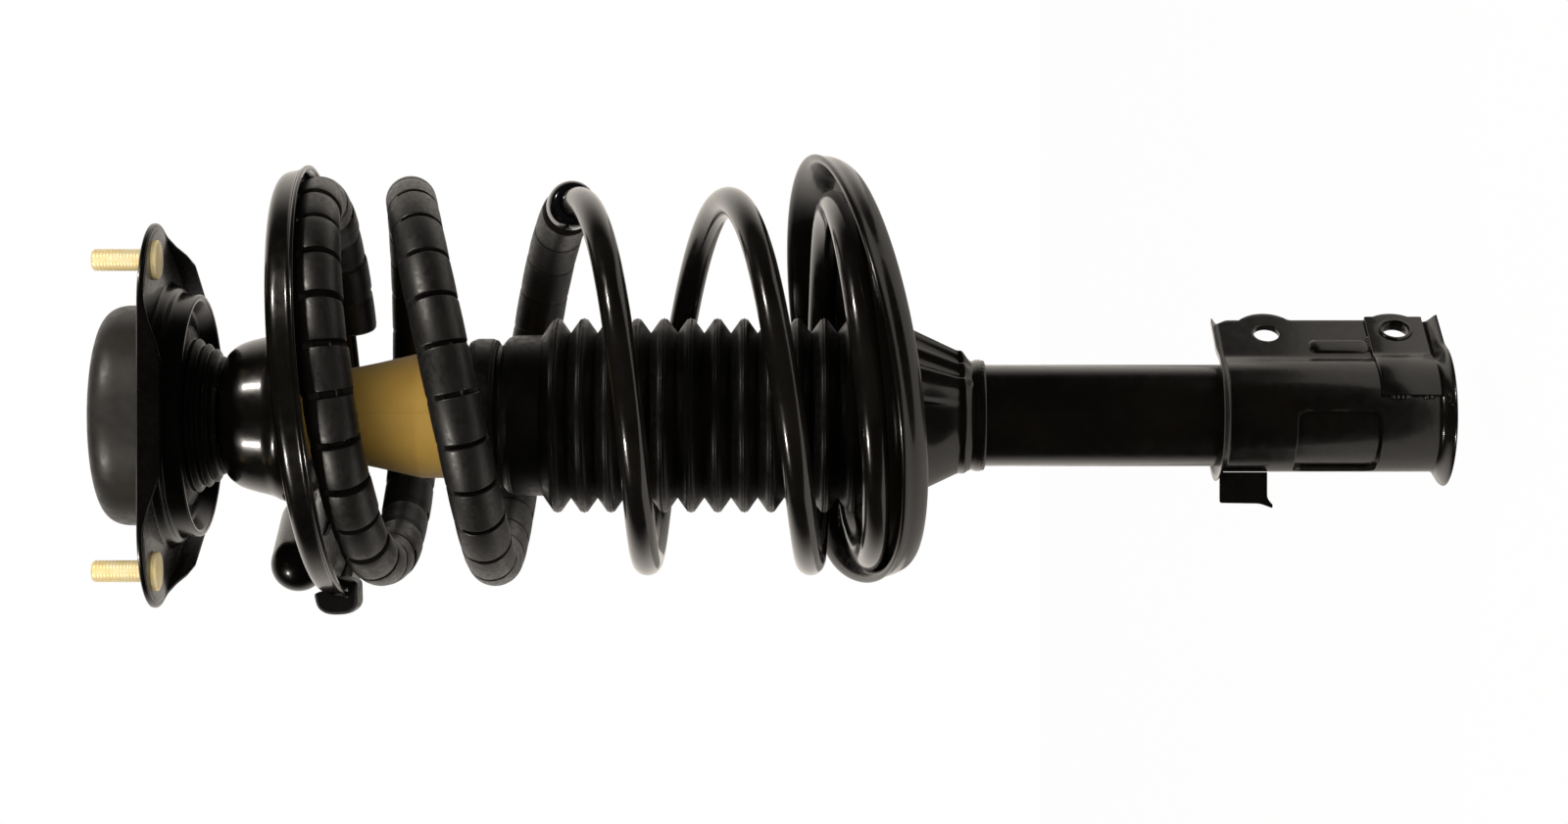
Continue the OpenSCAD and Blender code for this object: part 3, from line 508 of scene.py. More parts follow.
def make_finishes(tones):
    """All the finishes, named for the record's material slots."""
    dust = (0.30, 0.29, 0.27)
    finish(
        "gloss_black_paint", tones.enamel, 0.22, specular=0.4, coat=0.4, coat_rough=0.09,
        second=(0.0038, 0.0033, 0.0026), patch=28, amount=0.7, rough_spread=0.05,
        bumps=((260, 0.2, 0.12, NOISE), (1400, 0.08, 0.05, NOISE)),
        wear_and_edge_highlight=(0.4, (0.02, 0.018, 0.016)), specks=(420, 0.06, (0.03, 0.03, 0.03)),
    )
    finish(
        "spring_coat", tones.spring, 0.2, specular=0.45, coat=0.6, coat_rough=0.08,
        second=(0.0075, 0.0068, 0.0062), patch=35, amount=0.6, rough_spread=0.05,
        bumps=((180, 0.18, 0.15, NOISE), (900, 0.08, 0.06, NOISE)),
        specks=(300, 0.05, (0.04, 0.04, 0.04)),
    )
    # on this satin steel the lighter sharp edges are a painted edge highlight, not wear
    finish(
        "satin_black_steel", tones.plate, 0.26, specular=0.3, coat=0.2, coat_rough=0.13,
        second=(0.0018, 0.0017, 0.0015), patch=45, amount=0.7, rough_spread=0.03,
        bumps=((300, 0.03, 0.03, NOISE),), wear_and_edge_highlight=(0.3, (0.02, 0.018, 0.016)),
    )
    finish(
        "can_coat", tones.can, 0.42, specular=0.42, second=(0.028, 0.0275, 0.026), patch=30,
        amount=0.6, rough_spread=0.08, bumps=((900, 0.22, 0.05, NOISE), (120, 0.1, 0.2, NOISE)),
    )
    finish(
        "zinc_plate", tones.zinc, 0.36, metal=0.25, second=(0.94, 0.84, 0.54), patch=160,
        amount=0.8, rough_spread=0.04,
    )
    finish(
        "moulded_rubber", (0.002, 0.002, 0.0019), 0.4, specular=0.25,
        second=(0.005, 0.0048, 0.0045), patch=60, rough_spread=0.1,
        bumps=((700, 0.2, 0.08, NOISE),), specks=(260, 0.05, dust),
    )
    finish(
        "boot_rubber", tones.boot, 0.4, specular=0.3, second=(0.004, 0.0038, 0.0035), patch=50,
        rough_spread=0.1, bumps=((500, 0.15, 0.08, NOISE),), specks=(150, 0.045, dust),
    )
    finish(
        "sleeve_plastic", tones.sleeve, 0.46, specular=0.85, second=(0.006, 0.0058, 0.0053),
        patch=70, amount=0.8, rough_spread=0.09,
        bumps=((600, 0.25, 0.07, NOISE), (90, 0.12, 0.25, NOISE)),
    )
    finish(
        "ring_plastic", (0.002, 0.002, 0.003), 0.14, coat=0.4, coat_rough=0.06,
        second=(0.004, 0.004, 0.005), patch=90, bumps=((300, 0.12, 0.1, NOISE),),
    )
    finish(
        "urethane", tones.urethane, 0.62, specular=0.3, second=(0.38, 0.225, 0.045), patch=38,
        amount=0.55, rough_spread=0.08, bumps=((1500, 0.4, 0.12, CELLS), (300, 0.15, 0.2, NOISE)),
        specks=(900, 0.05, (0.30, 0.2, 0.07)), sheen=0.1,
    )
    finish(
        "rod_chrome", (0.75, 0.75, 0.77), 0.08, metal=1.0, second=(0.7, 0.7, 0.72), patch=120,
        rough_spread=0.03, bumps=((1200, 0.05, 0.02, NOISE),),
    )
    finish(
        "bearing_steel", (0.50, 0.50, 0.51), 0.3, metal=1.0, second=(0.4, 0.4, 0.41), patch=90,
        rough_spread=0.08, bumps=((800, 0.12, 0.04, NOISE),),
    )
    finish(
        "bush_bronze", (0.55, 0.36, 0.17), 0.34, metal=1.0, second=(0.45, 0.28, 0.12), patch=90,
        bumps=((800, 0.12, 0.04, NOISE),),
    )


# ---- upper mount -----------------------------------------------------------------
PLATE_AZ = math.radians(38)
PLATE_CORNERS = PLATE_AZ + TURN / 3 * np.arange(3)
CORNER_DIST = 57
CORNER_R = 38
STUD_DIST = 81
EDGE_DROP = 8.5
EDGE_PUSH = 2.2
# inset from the outline, height, and share of the turned-down edge's drop
PLATE_EDGE = (
    (3, 0, 0), (1.5, 0, 0), (0.7, -0.15, 0), (0.15, -0.6, 0), (0, -1.2, 0), (0.01, -1.9, 0.95),
    (0.15, -2.4, 1), (0.7, -2.85, 1), (1.5, -3, 1), (2.3, -2.8, 0.97), (2.7, -2.9, 0.1), (4.5, -3, 0),
)
STUD_SIDES = 40
THREAD_PITCH = 1.5
THREAD_DEPTH = 0.06
STUD_END_Z = 24.7


def plate_edge(inset, count=26):
    """The rounded three-cornered outline drawn in by inset: a circle's arc at each corner
    and straight sides between them."""
    t = PLATE_CORNERS[:, None] + np.radians(np.linspace(-60, 60, count))[None, :]
    mid = CORNER_DIST * np.stack([np.cos(PLATE_CORNERS), np.sin(PLATE_CORNERS)], -1)
    arcs = mid[:, None] + (CORNER_R - inset) * np.stack([np.cos(t), np.sin(t)], -1)
    after = np.roll(arcs[:, 0], -1, 0)
    s = np.linspace(0, 1, 12)[1:-1][None, :, None]
    sides = arcs[:, -1][:, None] * (1 - s) + after[:, None] * s
    return np.concatenate([arcs, sides], 1).reshape(-1, 2)


def build_plate():
    """Rings that are the outline near the edge and circles round the cup, with the surface
    straight between two rings. Between two corners the edge's underside is turned down."""
    edge = plate_edge(0)
    a = np.arctan2(edge[:, 1], edge[:, 0])
    circle = np.stack([np.cos(a), np.sin(a)], -1)
    # degrees from the middle of the nearest of the three sides
    off_side = np.abs((np.degrees(a) - 98 + 60) % 120 - 60)
    turned = smooth((40 - off_side) / 22)
    cup = rounded(
        [(62.6, -3), (61, -3.4), (59.5, -7.6), (56.6, -8.8), (56, -17.3), (53.2, -17.3), (50.6, -9.2),
         (42, -7.2)],
        [0.5, 1.5, 1.5, 1.2, 1, 1, 1.5, 0.5],
    )

    rings = [at_height(r * circle, z) for r, z in ((42, 0), (46, 0), (57, 0), (60, -0.15))]
    for inset, z, share in PLATE_EDGE:
        down = share * turned
        line = plate_edge(inset) + EDGE_PUSH * down[:, None] * circle
        rings.append(at_height(line, z - EDGE_DROP * down))
    rings += [at_height(r * circle, z) for r, z in cup]
    faces = quads(len(rings), len(a))
    make("mount_plate_pressing", np.stack(rings), faces, "satin_black_steel", "mount", ["mount_plate"])


def build_can():
    """A domed can whose sheet turns down round the opening at its top."""
    loop = rounded(
        [(51, 0.02), (51, 27.5), (20, 27.5), (20, 21.5), (23, 21.5), (23, 24.5), (48, 24.5), (48, 0.02)],
        [0.4, 13, 1, 0.4, 0.4, 1.2, 10, 0.3],
        steps=14,
    )
    ring_piece("mount_can", fill(loop, 2.0, True), "can_coat", "mount", ["mount_housing"])


def build_studs(stud_r):
    """Threads: the radius falls by a triangle wave of height over pitch less angle."""
    z = np.concatenate([np.linspace(0.2, 1.9, 4), np.arange(2, 23.7, 0.2), [24.1, STUD_END_Z]])
    t = np.arange(STUD_SIDES) * TURN / STUD_SIDES
    wave = np.abs(((z[:, None] / THREAD_PITCH - t[None, :] / TURN) % 1) * 2 - 1)
    threaded = smooth((z - 1.6) / 1.2) * smooth((24.3 - z) / 1.0)
    chamfer = 0.9 * smooth((z - 23.6) / 1.1)
    r = stud_r - THREAD_DEPTH * smooth(wave) * threaded[:, None] - chamfer[:, None]
    shank = polar(r, t, z[:, None])
    round_edge = rounded([(7.6, -5.6), (9.0, -5.0), (9.0, -3.4)], 0.7, False)
    head = np.vstack([[(0.01, -5.6)], round_edge, [(9.0, -2.98), (stud_r, -2.98)]])
    end = [(stud_r - 0.9, STUD_END_Z), (0.01, STUD_END_Z)]
    grid = np.concatenate([revolved(head, STUD_SIDES), shank, revolved(end, STUD_SIDES)])
    points = grid.reshape(-1, 3) + polar(STUD_DIST, PLATE_CORNERS, 0)[:, None]
    faces = quads(len(grid), STUD_SIDES, False, True) + (np.arange(3) * points.shape[1])[:, None, None]
    faces = faces.reshape(-1, 4)
    make("mount_stud_threads", points, faces, "zinc_plate", "mount", ["mount_studs"], crease=50)


def build_mount_rubber():
    """The moulding under the plate, ridged towards the seat, with the bearing's pocket."""
    loop = rounded(
        [(27.3, -28), (27.6, -26), (31.2, -24.4), (29.6, -22.4), (33.6, -20.6), (31.8, -18.2), (36, -16.2),
         (34.5, -13.6), (41.9, -11.8), (41.9, -8), (41.9, 0), (47.9, 0.1), (47.9, 14), (38, 24.4),
         (23.05, 24.4), (23.05, -6.9), (26.1, -6.9), (26.1, -20), (23, -20.5), (23, -28)],
        [0.8, 1, 1, 1.2, 1, 1.2, 1, 1.5, 1, 1, 0.2, 0.2, 6, 6, 0.5, 0.2, 0.2, 0.2, 0.5, 0.5],
        steps=6,
    )
    ring_piece("mount_rubber_cone", loop, "moulded_rubber", "mount", ["mount_rubber"])


# ---- spring seats ----------------------------------------------------------------
SEAT_PLACE = np.array([*COIL_AXIS, SEAT_Z])
DISH_DEPTH = 12.5
SEAT_SHEET = 2.4
SEAT_RINGS = 288
POCKET_AZ = math.radians(105)
POCKET_HALF = 22
POCKET_R_LOW, POCKET_R_HIGH = 15.0, 13.0
POCKET_Z = -58
POCKET_FOOT = 11.2
LUG_AZ = 128
LUG_HALF = 6.5
LUG_SLICES = 15
WIRE_STOP_AZ = math.radians(102)
WIRE_STOP_RISE = 11.0
SEAT_HOLE_R = 46
FLOOR_SHEET = 2.6
SKIRT_DEPTH = 13.4
NECK_END_Z = -377.5
NECK_BEND_Z = -343.6
NECK_TOP_Z = -333
NECK_SHEET = 2.2
# degrees round the strut at which the neck is creased
CREASES = (252, 270, 290, 312, 334)


def seat_points(loop, share, count):
    """Circles about the strut's axis (share 0) that slide into circles about the upper
    seat's own leaning axis (share 1)."""
    t = np.arange(count) * TURN / count
    r, z = loop[:, :1], loop[:, 1:2]
    own = placed(polar(r, t, z - SEAT_Z), SEAT_LEAN, SEAT_PLACE)
    s = share[:, None, None]
    return polar(r, t, z) * (1 - s) + own * s


def build_upper_seat():
    """A hat about the strut's axis that runs out into a leaning dish, whose shoulder turns
    down to a rolled rim."""
    top = SEAT_Z + DISH_DEPTH
    hat = rounded(
        [(7.2, -28.6), (21, -28.6), (28, -29.4), (32.4, -34), (34.6, -39.5), (36.2, -46), (38, -53),
         (46, -61)],
        [1, 3, 4, 4, 4, 4, 5, 5],
        closed=False,
        steps=8,
    )
    dish = rounded(
        [(56, top), (98.2, top), (99.5, SEAT_Z + 1), (101.2, SEAT_Z - 0.5), (101.0, SEAT_Z - 1.9),
         (99.2, SEAT_Z - 1.8)],
        [1, 9, 1.2, 1, 0.8, 0.5],
        closed=False,
        steps=9,
    )
    line = fill(np.vstack([hat, dish]), 1.6)
    share = smooth((line[:, 0] - 38) / 18)
    loop = walled(line, SEAT_SHEET)
    grid = seat_points(loop, np.concatenate([share, share[::-1]]), SEAT_RINGS)
    faces = quads(len(loop), SEAT_RINGS)
    make("upper_seat_pressing", grid, faces, "gloss_black_paint", "rod", ["upper_seat"])


def build_pocket():
    """The pocket for the wire's end: a bar with round ends, thicker at its low end, that
    stops in the sheet of the dish."""
    out = polar(1, POCKET_AZ, 0)
    up = np.array([0, 0, 1])
    along = np.cross(up, out)
    mid = (*COIL_AXIS, POCKET_Z) + COIL_R * out
    run = np.linspace(-POCKET_HALF, POCKET_HALF, 30)
    size = np.interp(run, [-POCKET_HALF, POCKET_HALF], [POCKET_R_LOW, POCKET_R_HIGH])
    quarter = np.linspace(0, np.pi / 2, 13)
    first, last = quarter[:-1] - np.pi / 2, quarter[1:]
    low_end = -POCKET_HALF + POCKET_R_LOW * np.sin(first)
    high_end = POCKET_HALF + POCKET_R_HIGH * np.sin(last)
    s = np.concatenate([low_end, run, high_end])
    r = np.concatenate([POCKET_R_LOW * np.cos(first), size, POCKET_R_HIGH * np.cos(last)])
    sides = 64
    grid = mid + s[:, None, None] * along + r[:, None, None] * around(out, up, sides)
    normal = SEAT_LEAN @ up
    base = SEAT_PLACE + normal * POCKET_FOOT
    aside = (grid[..., :2] - base[:2]) @ normal[:2]
    grid[..., 2] = np.maximum(grid[..., 2], base[2] - aside / normal[2])
    make("upper_seat_pocket", grid, quads(len(s), sides, False, True), "satin_black_steel", "rod")


def build_insulator():
    """A ring with soft waves under the dish, and a lug hooked round the rim."""
    loop = rounded(
        [(72, 9.8), (90.3, 9.8), (94.6, 5.0), (92.0, 4.2), (88, 7.2), (72, 7.2)],
        [0.8, 3, 1, 1, 1, 0.8],
    )
    count = 240
    grid = revolved(loop, count, lambda t, r, z: -0.5 * (r > 90) * (1 + np.sin(t * 26)))
    points = placed(grid, SEAT_LEAN, SEAT_PLACE)
    make("seat_insulator", points, quads(len(loop), count), "moulded_rubber", "rod", ["upper_insulator"])
    hook = rounded(
        [(92.4, 4.2), (95.0, 4.0), (96.2, -2.6), (102.0, -2.6), (102.0, 0.2), (100.3, 0.9), (99.9, 5),
         (97.4, 10.8), (98.6, 14.2), (105.5, 13.2), (108.8, 8.5), (109.3, -1.0), (106.5, -5.6),
         (94.5, -6.4), (91.8, 1)],
        [0.4, 0.4, 0.8, 0.5, 0.5, 0.4, 2, 1, 1.2, 4, 4, 4, 3, 2, 0.5],
    )
    across = np.linspace(-1, 1, LUG_SLICES)
    a = np.radians(LUG_AZ + LUG_HALF * across)[:, None]
    near = (np.sqrt(1 - np.abs(across) ** 10) * 0.12 + 0.88)[:, None]
    centre = hook.mean(0)
    r = centre[0] + (hook[:, 0] - centre[0]) * near
    z = centre[1] + (hook[:, 1] - centre[1]) * near
    points = placed(polar(r, a, z), SEAT_LEAN, SEAT_PLACE)
    make("insulator_lug", points, with_lids(LUG_SLICES, len(hook)), "moulded_rubber", "rod")


def build_lower_seat():
    """Circles about the strut's axis that slide into circles on the leaning floor, then into
    circles of the rim, which leans more: the sheet turns over the rim into a skirt. The
    rim rises behind the wire's end."""
    t = np.arange(SEAT_RINGS) * TURN / SEAT_RINGS
    hole_z = FLOOR_Z - FLOOR_SLOPE * RIM_MID[:2] @ FLOOR_WAY
    strut_hole = placed(polar(SEAT_HOLE_R, t, 0), FLOOR_LEAN, (0, 0, hole_z))
    stop = WIRE_STOP_RISE * bell_at(t, WIRE_STOP_AZ, 0.6)

    def floor_rings(rows):
        """Circles of each (r, z) about the leaning floor's axis."""
        r, z = np.transpose(rows)[..., None]
        return placed(polar(r, t, z), FLOOR_LEAN, (*RIM_MID[:2], FLOOR_Z))

    def rim_rings(rows):
        """Circles of each (r, z) about the leaning rim's axis, lifted behind the wire's end."""
        r, z = np.transpose(rows)[..., None]
        return placed(polar(r, t, z), RIM_LEAN, RIM_MID) + polar(0, t, stop * smooth((z + SKIRT_DEPTH) / 9))

    grid = np.concatenate([
        strut_hole[None],
        floor_rings([(60, 0), (78, 0), (88.5, 0.1), (91, 0.6), (92.6, 2.2)]),
        rim_rings([(94.6, -5.5), (96.2, -2.6), (97.4, -0.9), (99.2, 0.2), (100.8, 0.1), (101.5, -0.8),
                   (101.2, -2.2), (100.3, -4.4), (99.4, -8.0), (97.6, -11.2), (95.4, -13.4)]),
        rim_rings([(94.2, -13.4), (94.0, -12.2), (96.2, -9.6), (97.4, -6.8), (97.9, -4.2), (96.6, -4.4),
                   (94.0, -8.2)]),
        floor_rings([(92.4, -0.6), (90, -2.2), (86, -2.6), (60, -2.6)]),
        strut_hole[None] - (0, 0, FLOOR_SHEET),
    ])
    dense = densify(grid, 3)
    faces = quads(len(dense), SEAT_RINGS)
    make("lower_seat_pressing", dense, faces, "gloss_black_paint", "damper", ["lower_seat"])


def densify(grid, times):
    """Cubic curves through the rings, closed, with times points for each ring. A ring's
    slope is part of the step between its neighbours, and never longer than its own step."""
    before, here, after, next_after = (np.roll(grid, k, 0)[:, None] for k in (1, 0, -1, -2))
    t = (np.arange(times) / times)[None, :, None, None]
    step = np.linalg.norm(after - here, axis=-1, keepdims=True)

    def slope(change):
        """The change, shortened to the step where it is longer."""
        length = np.linalg.norm(change, axis=-1, keepdims=True)
        return change * np.minimum(1, step / np.maximum(length, 1e-9))

    leave, arrive = slope((after - before) * 0.4), slope((next_after - here) * 0.4)
    out = (
        (2 * t**3 - 3 * t**2 + 1) * here
        + (t**3 - 2 * t**2 + t) * leave
        + (-2 * t**3 + 3 * t**2) * after
        + (t**3 - t**2) * arrive
    )
    return out.reshape(-1, *grid.shape[1:])


def build_neck():
    """A cone with pressed creases on its high side and a dimple that faces the viewer. Its
    top edge is lifted to the underside of the seat's sloping floor."""
    corners = [(25.9, NECK_END_Z), (25.9, -369), (38, NECK_BEND_Z), (47.5, NECK_TOP_Z)]
    line = rounded(corners, [1, 3, 4, 2], closed=False, steps=8)
    loop = walled(fill(line, 0.7), -NECK_SHEET)
    loop[:, 0] = np.maximum(loop[:, 0], TUBE_R + 0.1)
    count = 360

    def press(t, r, z):
        """Bells round the strut times bells or steps along it, each with its own height."""
        window = smooth((z + 374) / 6) * smooth((-334 - z) / 6)
        creases = sum(bell_at(t, math.radians(a), 0.075) for a in CREASES)
        ridge = bell_at(t, math.radians(228), 0.05) * bump(z + 354, 9)
        dimple = bell_at(t, CAMERA_AZ - 0.1, 0.45) * bump(z + 350, 9)
        collar = bump(z + 369.5, 1.6) - 0.8 * bump(z + 373.2, 1.4)
        return window * 3.4 * creases + 1.3 * ridge - 1.3 * dimple + 0.9 * collar

    grid = revolved(loop, count, press)
    under_floor = FLOOR_Z - FLOOR_SHEET - 0.1 + FLOOR_SLOPE * ((grid[..., :2] - RIM_MID[:2]) @ FLOOR_WAY)
    lift = smooth((grid[..., 2] - NECK_BEND_Z) / (NECK_TOP_Z - NECK_BEND_Z))
    grid[..., 2] = grid[..., 2] * (1 - lift) + under_floor * lift
    make("neck_cone", grid, quads(len(loop), count), "gloss_black_paint", "damper", ["seat_neck"])


def build_neck_weld():
    """A bead round the tube under the neck, whose outer side ripples."""
    t = np.arange(9) * TURN / 9
    bead = np.column_stack([24.4 + 1.1 * np.cos(t), -378.3 + 1.2 * np.sin(t)])

    def ripple(t, r, z):
        """Sixty waves round the bead, on its outer side alone."""
        return 0.12 * (r > 24.4) * np.sin(t * 60)

    ring_piece("neck_weld", bead, "gloss_black_paint", "damper", count=240, ripple=ripple, crease=60)


# ---- spring and sleeve -----------------------------------------------------------
COIL_LENGTH = TURN * COIL_R
WIRE_EDGE = 1.2
SEGMENTS = 56
SLOT_HALF = 0.053
SLOT_OPENING = 0.025
SLEEVE_END_R = 11.0
RING_HALF = 6.8
# shares of a segment's length at which the sleeve has a ring of points
SEGMENT_STEPS = np.array(
    [0, 0.045, 0.053, 0.068, 0.078, 0.12, 0.3, 0.5, 0.7, 0.88, 0.922, 0.932, 0.947, 0.955]
)


def build_spring(wire_r):
    """The wire, with the edges of its ends rounded by a quarter circle."""
    body = np.linspace(-COIL_LEAD, COIL_TURNS, 1200)[6:-6]
    arc = np.linspace(0, np.pi / 2, 8)[:-1]
    from_end = (1 - np.cos(arc)) * WIRE_EDGE / COIL_LENGTH
    end_r = wire_r - WIRE_EDGE + WIRE_EDGE * np.sin(arc)
    first, last = -COIL_LEAD + from_end, (COIL_TURNS - from_end)[::-1]
    n = np.concatenate([[-COIL_LEAD], first, body, last, [COIL_TURNS]])
    r = np.concatenate([[1e-3], end_r, np.full(len(body), wire_r), end_r[::-1], [1e-3]])
    coil_piece("spring_wire", wire(n, r), n, 32, "spring_coat", ["coil_spring"], closed=False)


def build_sleeve(wire_r, sleeve_r):
    """Segments of the sleeve, joined along one side by a spine: a slot with steep walls runs
    round the outside of the section between two segments, wider in the seat, where the bend
    opens it. Its floor lies just under the wire's skin, so that the wire shows in it."""
    u = np.append((np.arange(SEGMENTS)[:, None] + SEGMENT_STEPS[None, :]).ravel(), SEGMENTS)
    n = -COIL_LEAD + (SLEEVE_END - 0.01 + COIL_LEAD) * u / SEGMENTS
    sides = 48
    t = np.arange(sides) * TURN / sides
    from_slot = np.minimum(u % 1, 1 - u % 1)
    from_end = np.minimum(u, SEGMENTS - u)
    seated = 1 - smooth((n - 0.5) / 0.4)
    wide = SLOT_HALF + SLOT_OPENING * seated
    slot = np.where(from_end < 0.5, 0, 1 - smooth((from_slot - wide + 0.008) / 0.008))
    side = np.degrees((t + np.pi) % TURN - np.pi)
    outside = smooth((36 - side) / 14) * smooth((side + 104) / 14)
    swell = sleeve_r + 0.14 * np.sin(np.pi * (u % 1)) + 0.3 * np.sin(np.floor(u) * 2.4) * seated
    swell = np.where(from_end < 0.03, SLEEVE_END_R, swell)
    edge = 1 - smooth((from_slot - wide) / 0.015)
    depth = slot[:, None] * outside[None, :]
    radius = (swell - 0.2 * edge)[:, None] * (1 - depth) + (wire_r - 0.25) * depth
    mid, out, across = coil_frames(n)
    section = around(out, across, sides)
    skin = mid[:, None] + radius[..., None] * section
    bore = mid[::-1, None] + (wire_r - 0.5) * section[::-1]
    both = np.concatenate([n, n[::-1]])
    coil_piece("spring_sleeve_segments", np.concatenate([skin, bore]), both, sides, "sleeve_plastic",
               ["spring_sleeve"], closed=True, crease=30)


def build_sleeve_ring(wire_r):
    """The ring that ends the sleeve: nearly straight against the sleeve, and round at its
    far end."""
    v = np.linspace(-1, 1, 33)
    n = SLEEVE_END + RING_HALF / COIL_LENGTH * (1 + v)
    straight = 11.4 - 0.5 * np.abs(v) ** 4
    rounding = 7.3 + 4.1 * np.sqrt(np.clip(1 - np.abs(v) ** 2.2, 0, 1))
    sides = 48
    bore = np.full(len(n), wire_r + 0.3)
    grid = np.concatenate([wire(n, np.where(v < 0, straight, rounding), sides), wire(n[::-1], bore, sides)])
    both = np.concatenate([n, n[::-1]])
    coil_piece("sleeve_clip_ring", grid, both, sides, "ring_plastic", ["sleeve_end_ring"], closed=True)


# ---- bump stop and boot ----------------------------------------------------------
STOP_TOP_Z = -31.5
STOP_END_Z = -165
BOOT_END_Z = -339
STOP_SHARE = 0.4825
FOLDS = 12
FOLD_PITCH = 12.35
FIRST_FOLD_Z = -182.0
BOOT_WALL = 1.5


def rubber_share(z):
    """The bump stop shortens by just under half, and the boot takes up the rest."""
    in_stop = np.interp(z, [STOP_END_Z, STOP_TOP_Z], [STOP_SHARE, 0])
    below = np.interp(z, [BOOT_END_Z, STOP_END_Z], [1, STOP_SHARE])
    return np.where(z > STOP_END_Z, in_stop, below)


def soft_ring(name, loop, finish_name, replaced, count, ripple=None):
    """A ring about the strut's axis that shortens with the stroke."""
    grid = revolved(loop, count, ripple)
    piece = make(name, grid, quads(len(loop), count), finish_name, None, replaced, share=grid[..., 2])
    bend_with(piece, rubber_share, BOOT_END_Z, STOP_TOP_Z)


def build_bump_stop(stop_r):
    """A tapered stop in steps, with a fine mould line towards the viewer and behind."""
    loop = rounded(
        [(10.4, -31.6), (18, -31.6), (19, -58), (21.6, -80), (22.4, -89), (24.2, -98),
         (stop_r - 0.7, -116), (stop_r, -119), (stop_r, -147), (25, -152), (24.6, -156), (21, -162),
         (18.5, -164.9), (10.4, -164.9)],
        [0.5, 1, 6, 5, 3, 3, 1.2, 1, 2, 2, 2, 2, 1.5, 0.5],
    )

    def mould_line(t, r, z):
        """A narrow bell at two opposite sides, outside the bore."""
        seam = bell_at(t, CAMERA_AZ + 0.05, 0.012) + bell_at(t, CAMERA_AZ + 0.05 + np.pi, 0.012)
        return 0.35 * seam * (r > 15)

    soft_ring("bump_stop_block", fill(loop, 2.5, True), "urethane", ["bump_stop"], 420, mould_line)


def build_boot(crest_r, root_r):
    """A collar, twelve folds and a cuff: the radius swings between crest and root on straight
    flanks whose tips are rounded. The wall is set inwards."""
    half_fold = np.arange(FOLDS * 2)
    crest = half_fold % 2 == 0
    z = FIRST_FOLD_Z - FOLD_PITCH * half_fold / 2
    folds = np.column_stack([np.where(crest, crest_r, root_r), z])
    collar = [(29.4, -143.4), (34.6, -143.4), (35.6, -145), (35.6, -153), (32.8, -154.6), (32.4, -158.0),
              (34.6, -159.4), (36.9, -161.4), (37.2, -172), (37.4, -176.4)]
    cuff = [(25.9, z[-1] - 2.4), (25.7, z[-1] - 8.6)]
    size = [0.5, 0.8, 1, 1, 1, 1, 1, 1, 1, 1.5, *np.where(crest, 0.7, 1.1), 1, 0.4]
    line = rounded(np.vstack([collar, folds, cuff]), size, closed=False)
    inner = line - outward(line) * BOOT_WALL
    inner[:, 0] = np.minimum(inner[:, 0], line[:, 0] - 0.3)
    loop = np.vstack([line, inner[::-1]])
    soft_ring("dust_boot_folds", fill(loop, 2.2, True), "boot_rubber", ["dust_boot"], 192)


# ---- damper, bracket, strap and clip ----------------------------------------------
WRAP_R = 26.1
EAR_Y = 22.0
EAR_REACH = 44.6
BEND_TURN = 0.13
BEND_FOOT = 2.8
BRACKET_LOW, BRACKET_HIGH = -592.3, -486.8
LIP_LOW, LIP_HIGH = 6.6, 4.4
LIP_REACH_LOW, LIP_REACH_HIGH = 7.0, 4.2
BOLT_X = 34.2
BOLT_Z = (-512.5, -572.5)
BOLT_R = 6.1
LOBE_R = 15.6
WINDOW_Z = -540.2
WINDOW_HALF = 19.0
STRAP_T = 1.9
CLIP_AZ = math.radians(128)


def build_tube(tube_r):
    """The tube with its broken lower edge, and the stepped cap on its upper end."""
    bore_r = tube_r - 2.6
    loop = rounded(
        [(tube_r, -237), (tube_r, -588.6), (tube_r - 1.2, -590.2), (bore_r, -590.2), (bore_r, -237)],
        [0.6, 2, 0.6, 0.4, 0.4],
    )
    ring_piece("damper_tube", fill(loop, 6, True), "gloss_black_paint", "damper", ["reserve_tube"])
    cap = rounded(
        [(11, -232.8), (14, -232.8), (16, -235.7), (22.6, -235.7), (24.6, -238), (24.6, -246), (23.6, -246),
         (23.6, -236.9), (11, -236.9)],
        [0.4, 0.6, 0.8, 0.8, 1, 0.4, 0.3, 0.3, 0.3],
    )
    ring_piece("tube_cap", cap, "satin_black_steel", "damper", ["striker_cap"])


def ear_and_bend(reach, r, y):
    """Points along one ear from its edge to the wrap, whose corner with the wrap's tangent is
    rounded by a quadratic curve, and the angle at which the wrap begins."""
    start = math.asin(y / r) + BEND_TURN
    corner = np.array([(r * r - y * r * math.sin(start)) / (r * math.cos(start)), -y])
    foot = corner + (BEND_FOOT, 0)
    landing = np.array([r * math.cos(start), -r * math.sin(start)])
    u = np.linspace(0, 1, 9)[:, None]
    bend = (1 - u) ** 2 * foot + 2 * u * (1 - u) * corner + u * u * landing
    ear = np.linspace((reach, -y), foot, 16)
    return np.vstack([ear[:-1], bend[:-1]]), start


def bracket_section(reach, grow, sheet):
    """Closed line of the bracket's section: one ear, the wrap behind the tube, the other ear,
    and back along the inside."""
    r = WRAP_R + grow
    half, start = ear_and_bend(reach, r, EAR_Y + grow)
    t = np.linspace(-start, start - TURN, 70)
    wrap = np.column_stack([r * np.cos(t), r * np.sin(t)])
    return walled(np.vstack([half, wrap, (half * (1, -1))[::-1]]), sheet)


def bolt_bar(height, low, high, count):
    """A round bar along y through a bolt's place, to cut its hole."""
    t = np.arange(count) * TURN / count
    circle = np.column_stack([BOLT_X + BOLT_R * np.cos(t), height + BOLT_R * np.sin(t)])
    points, faces = prism(circle, low, high)
    return points[:, [0, 2, 1]], faces


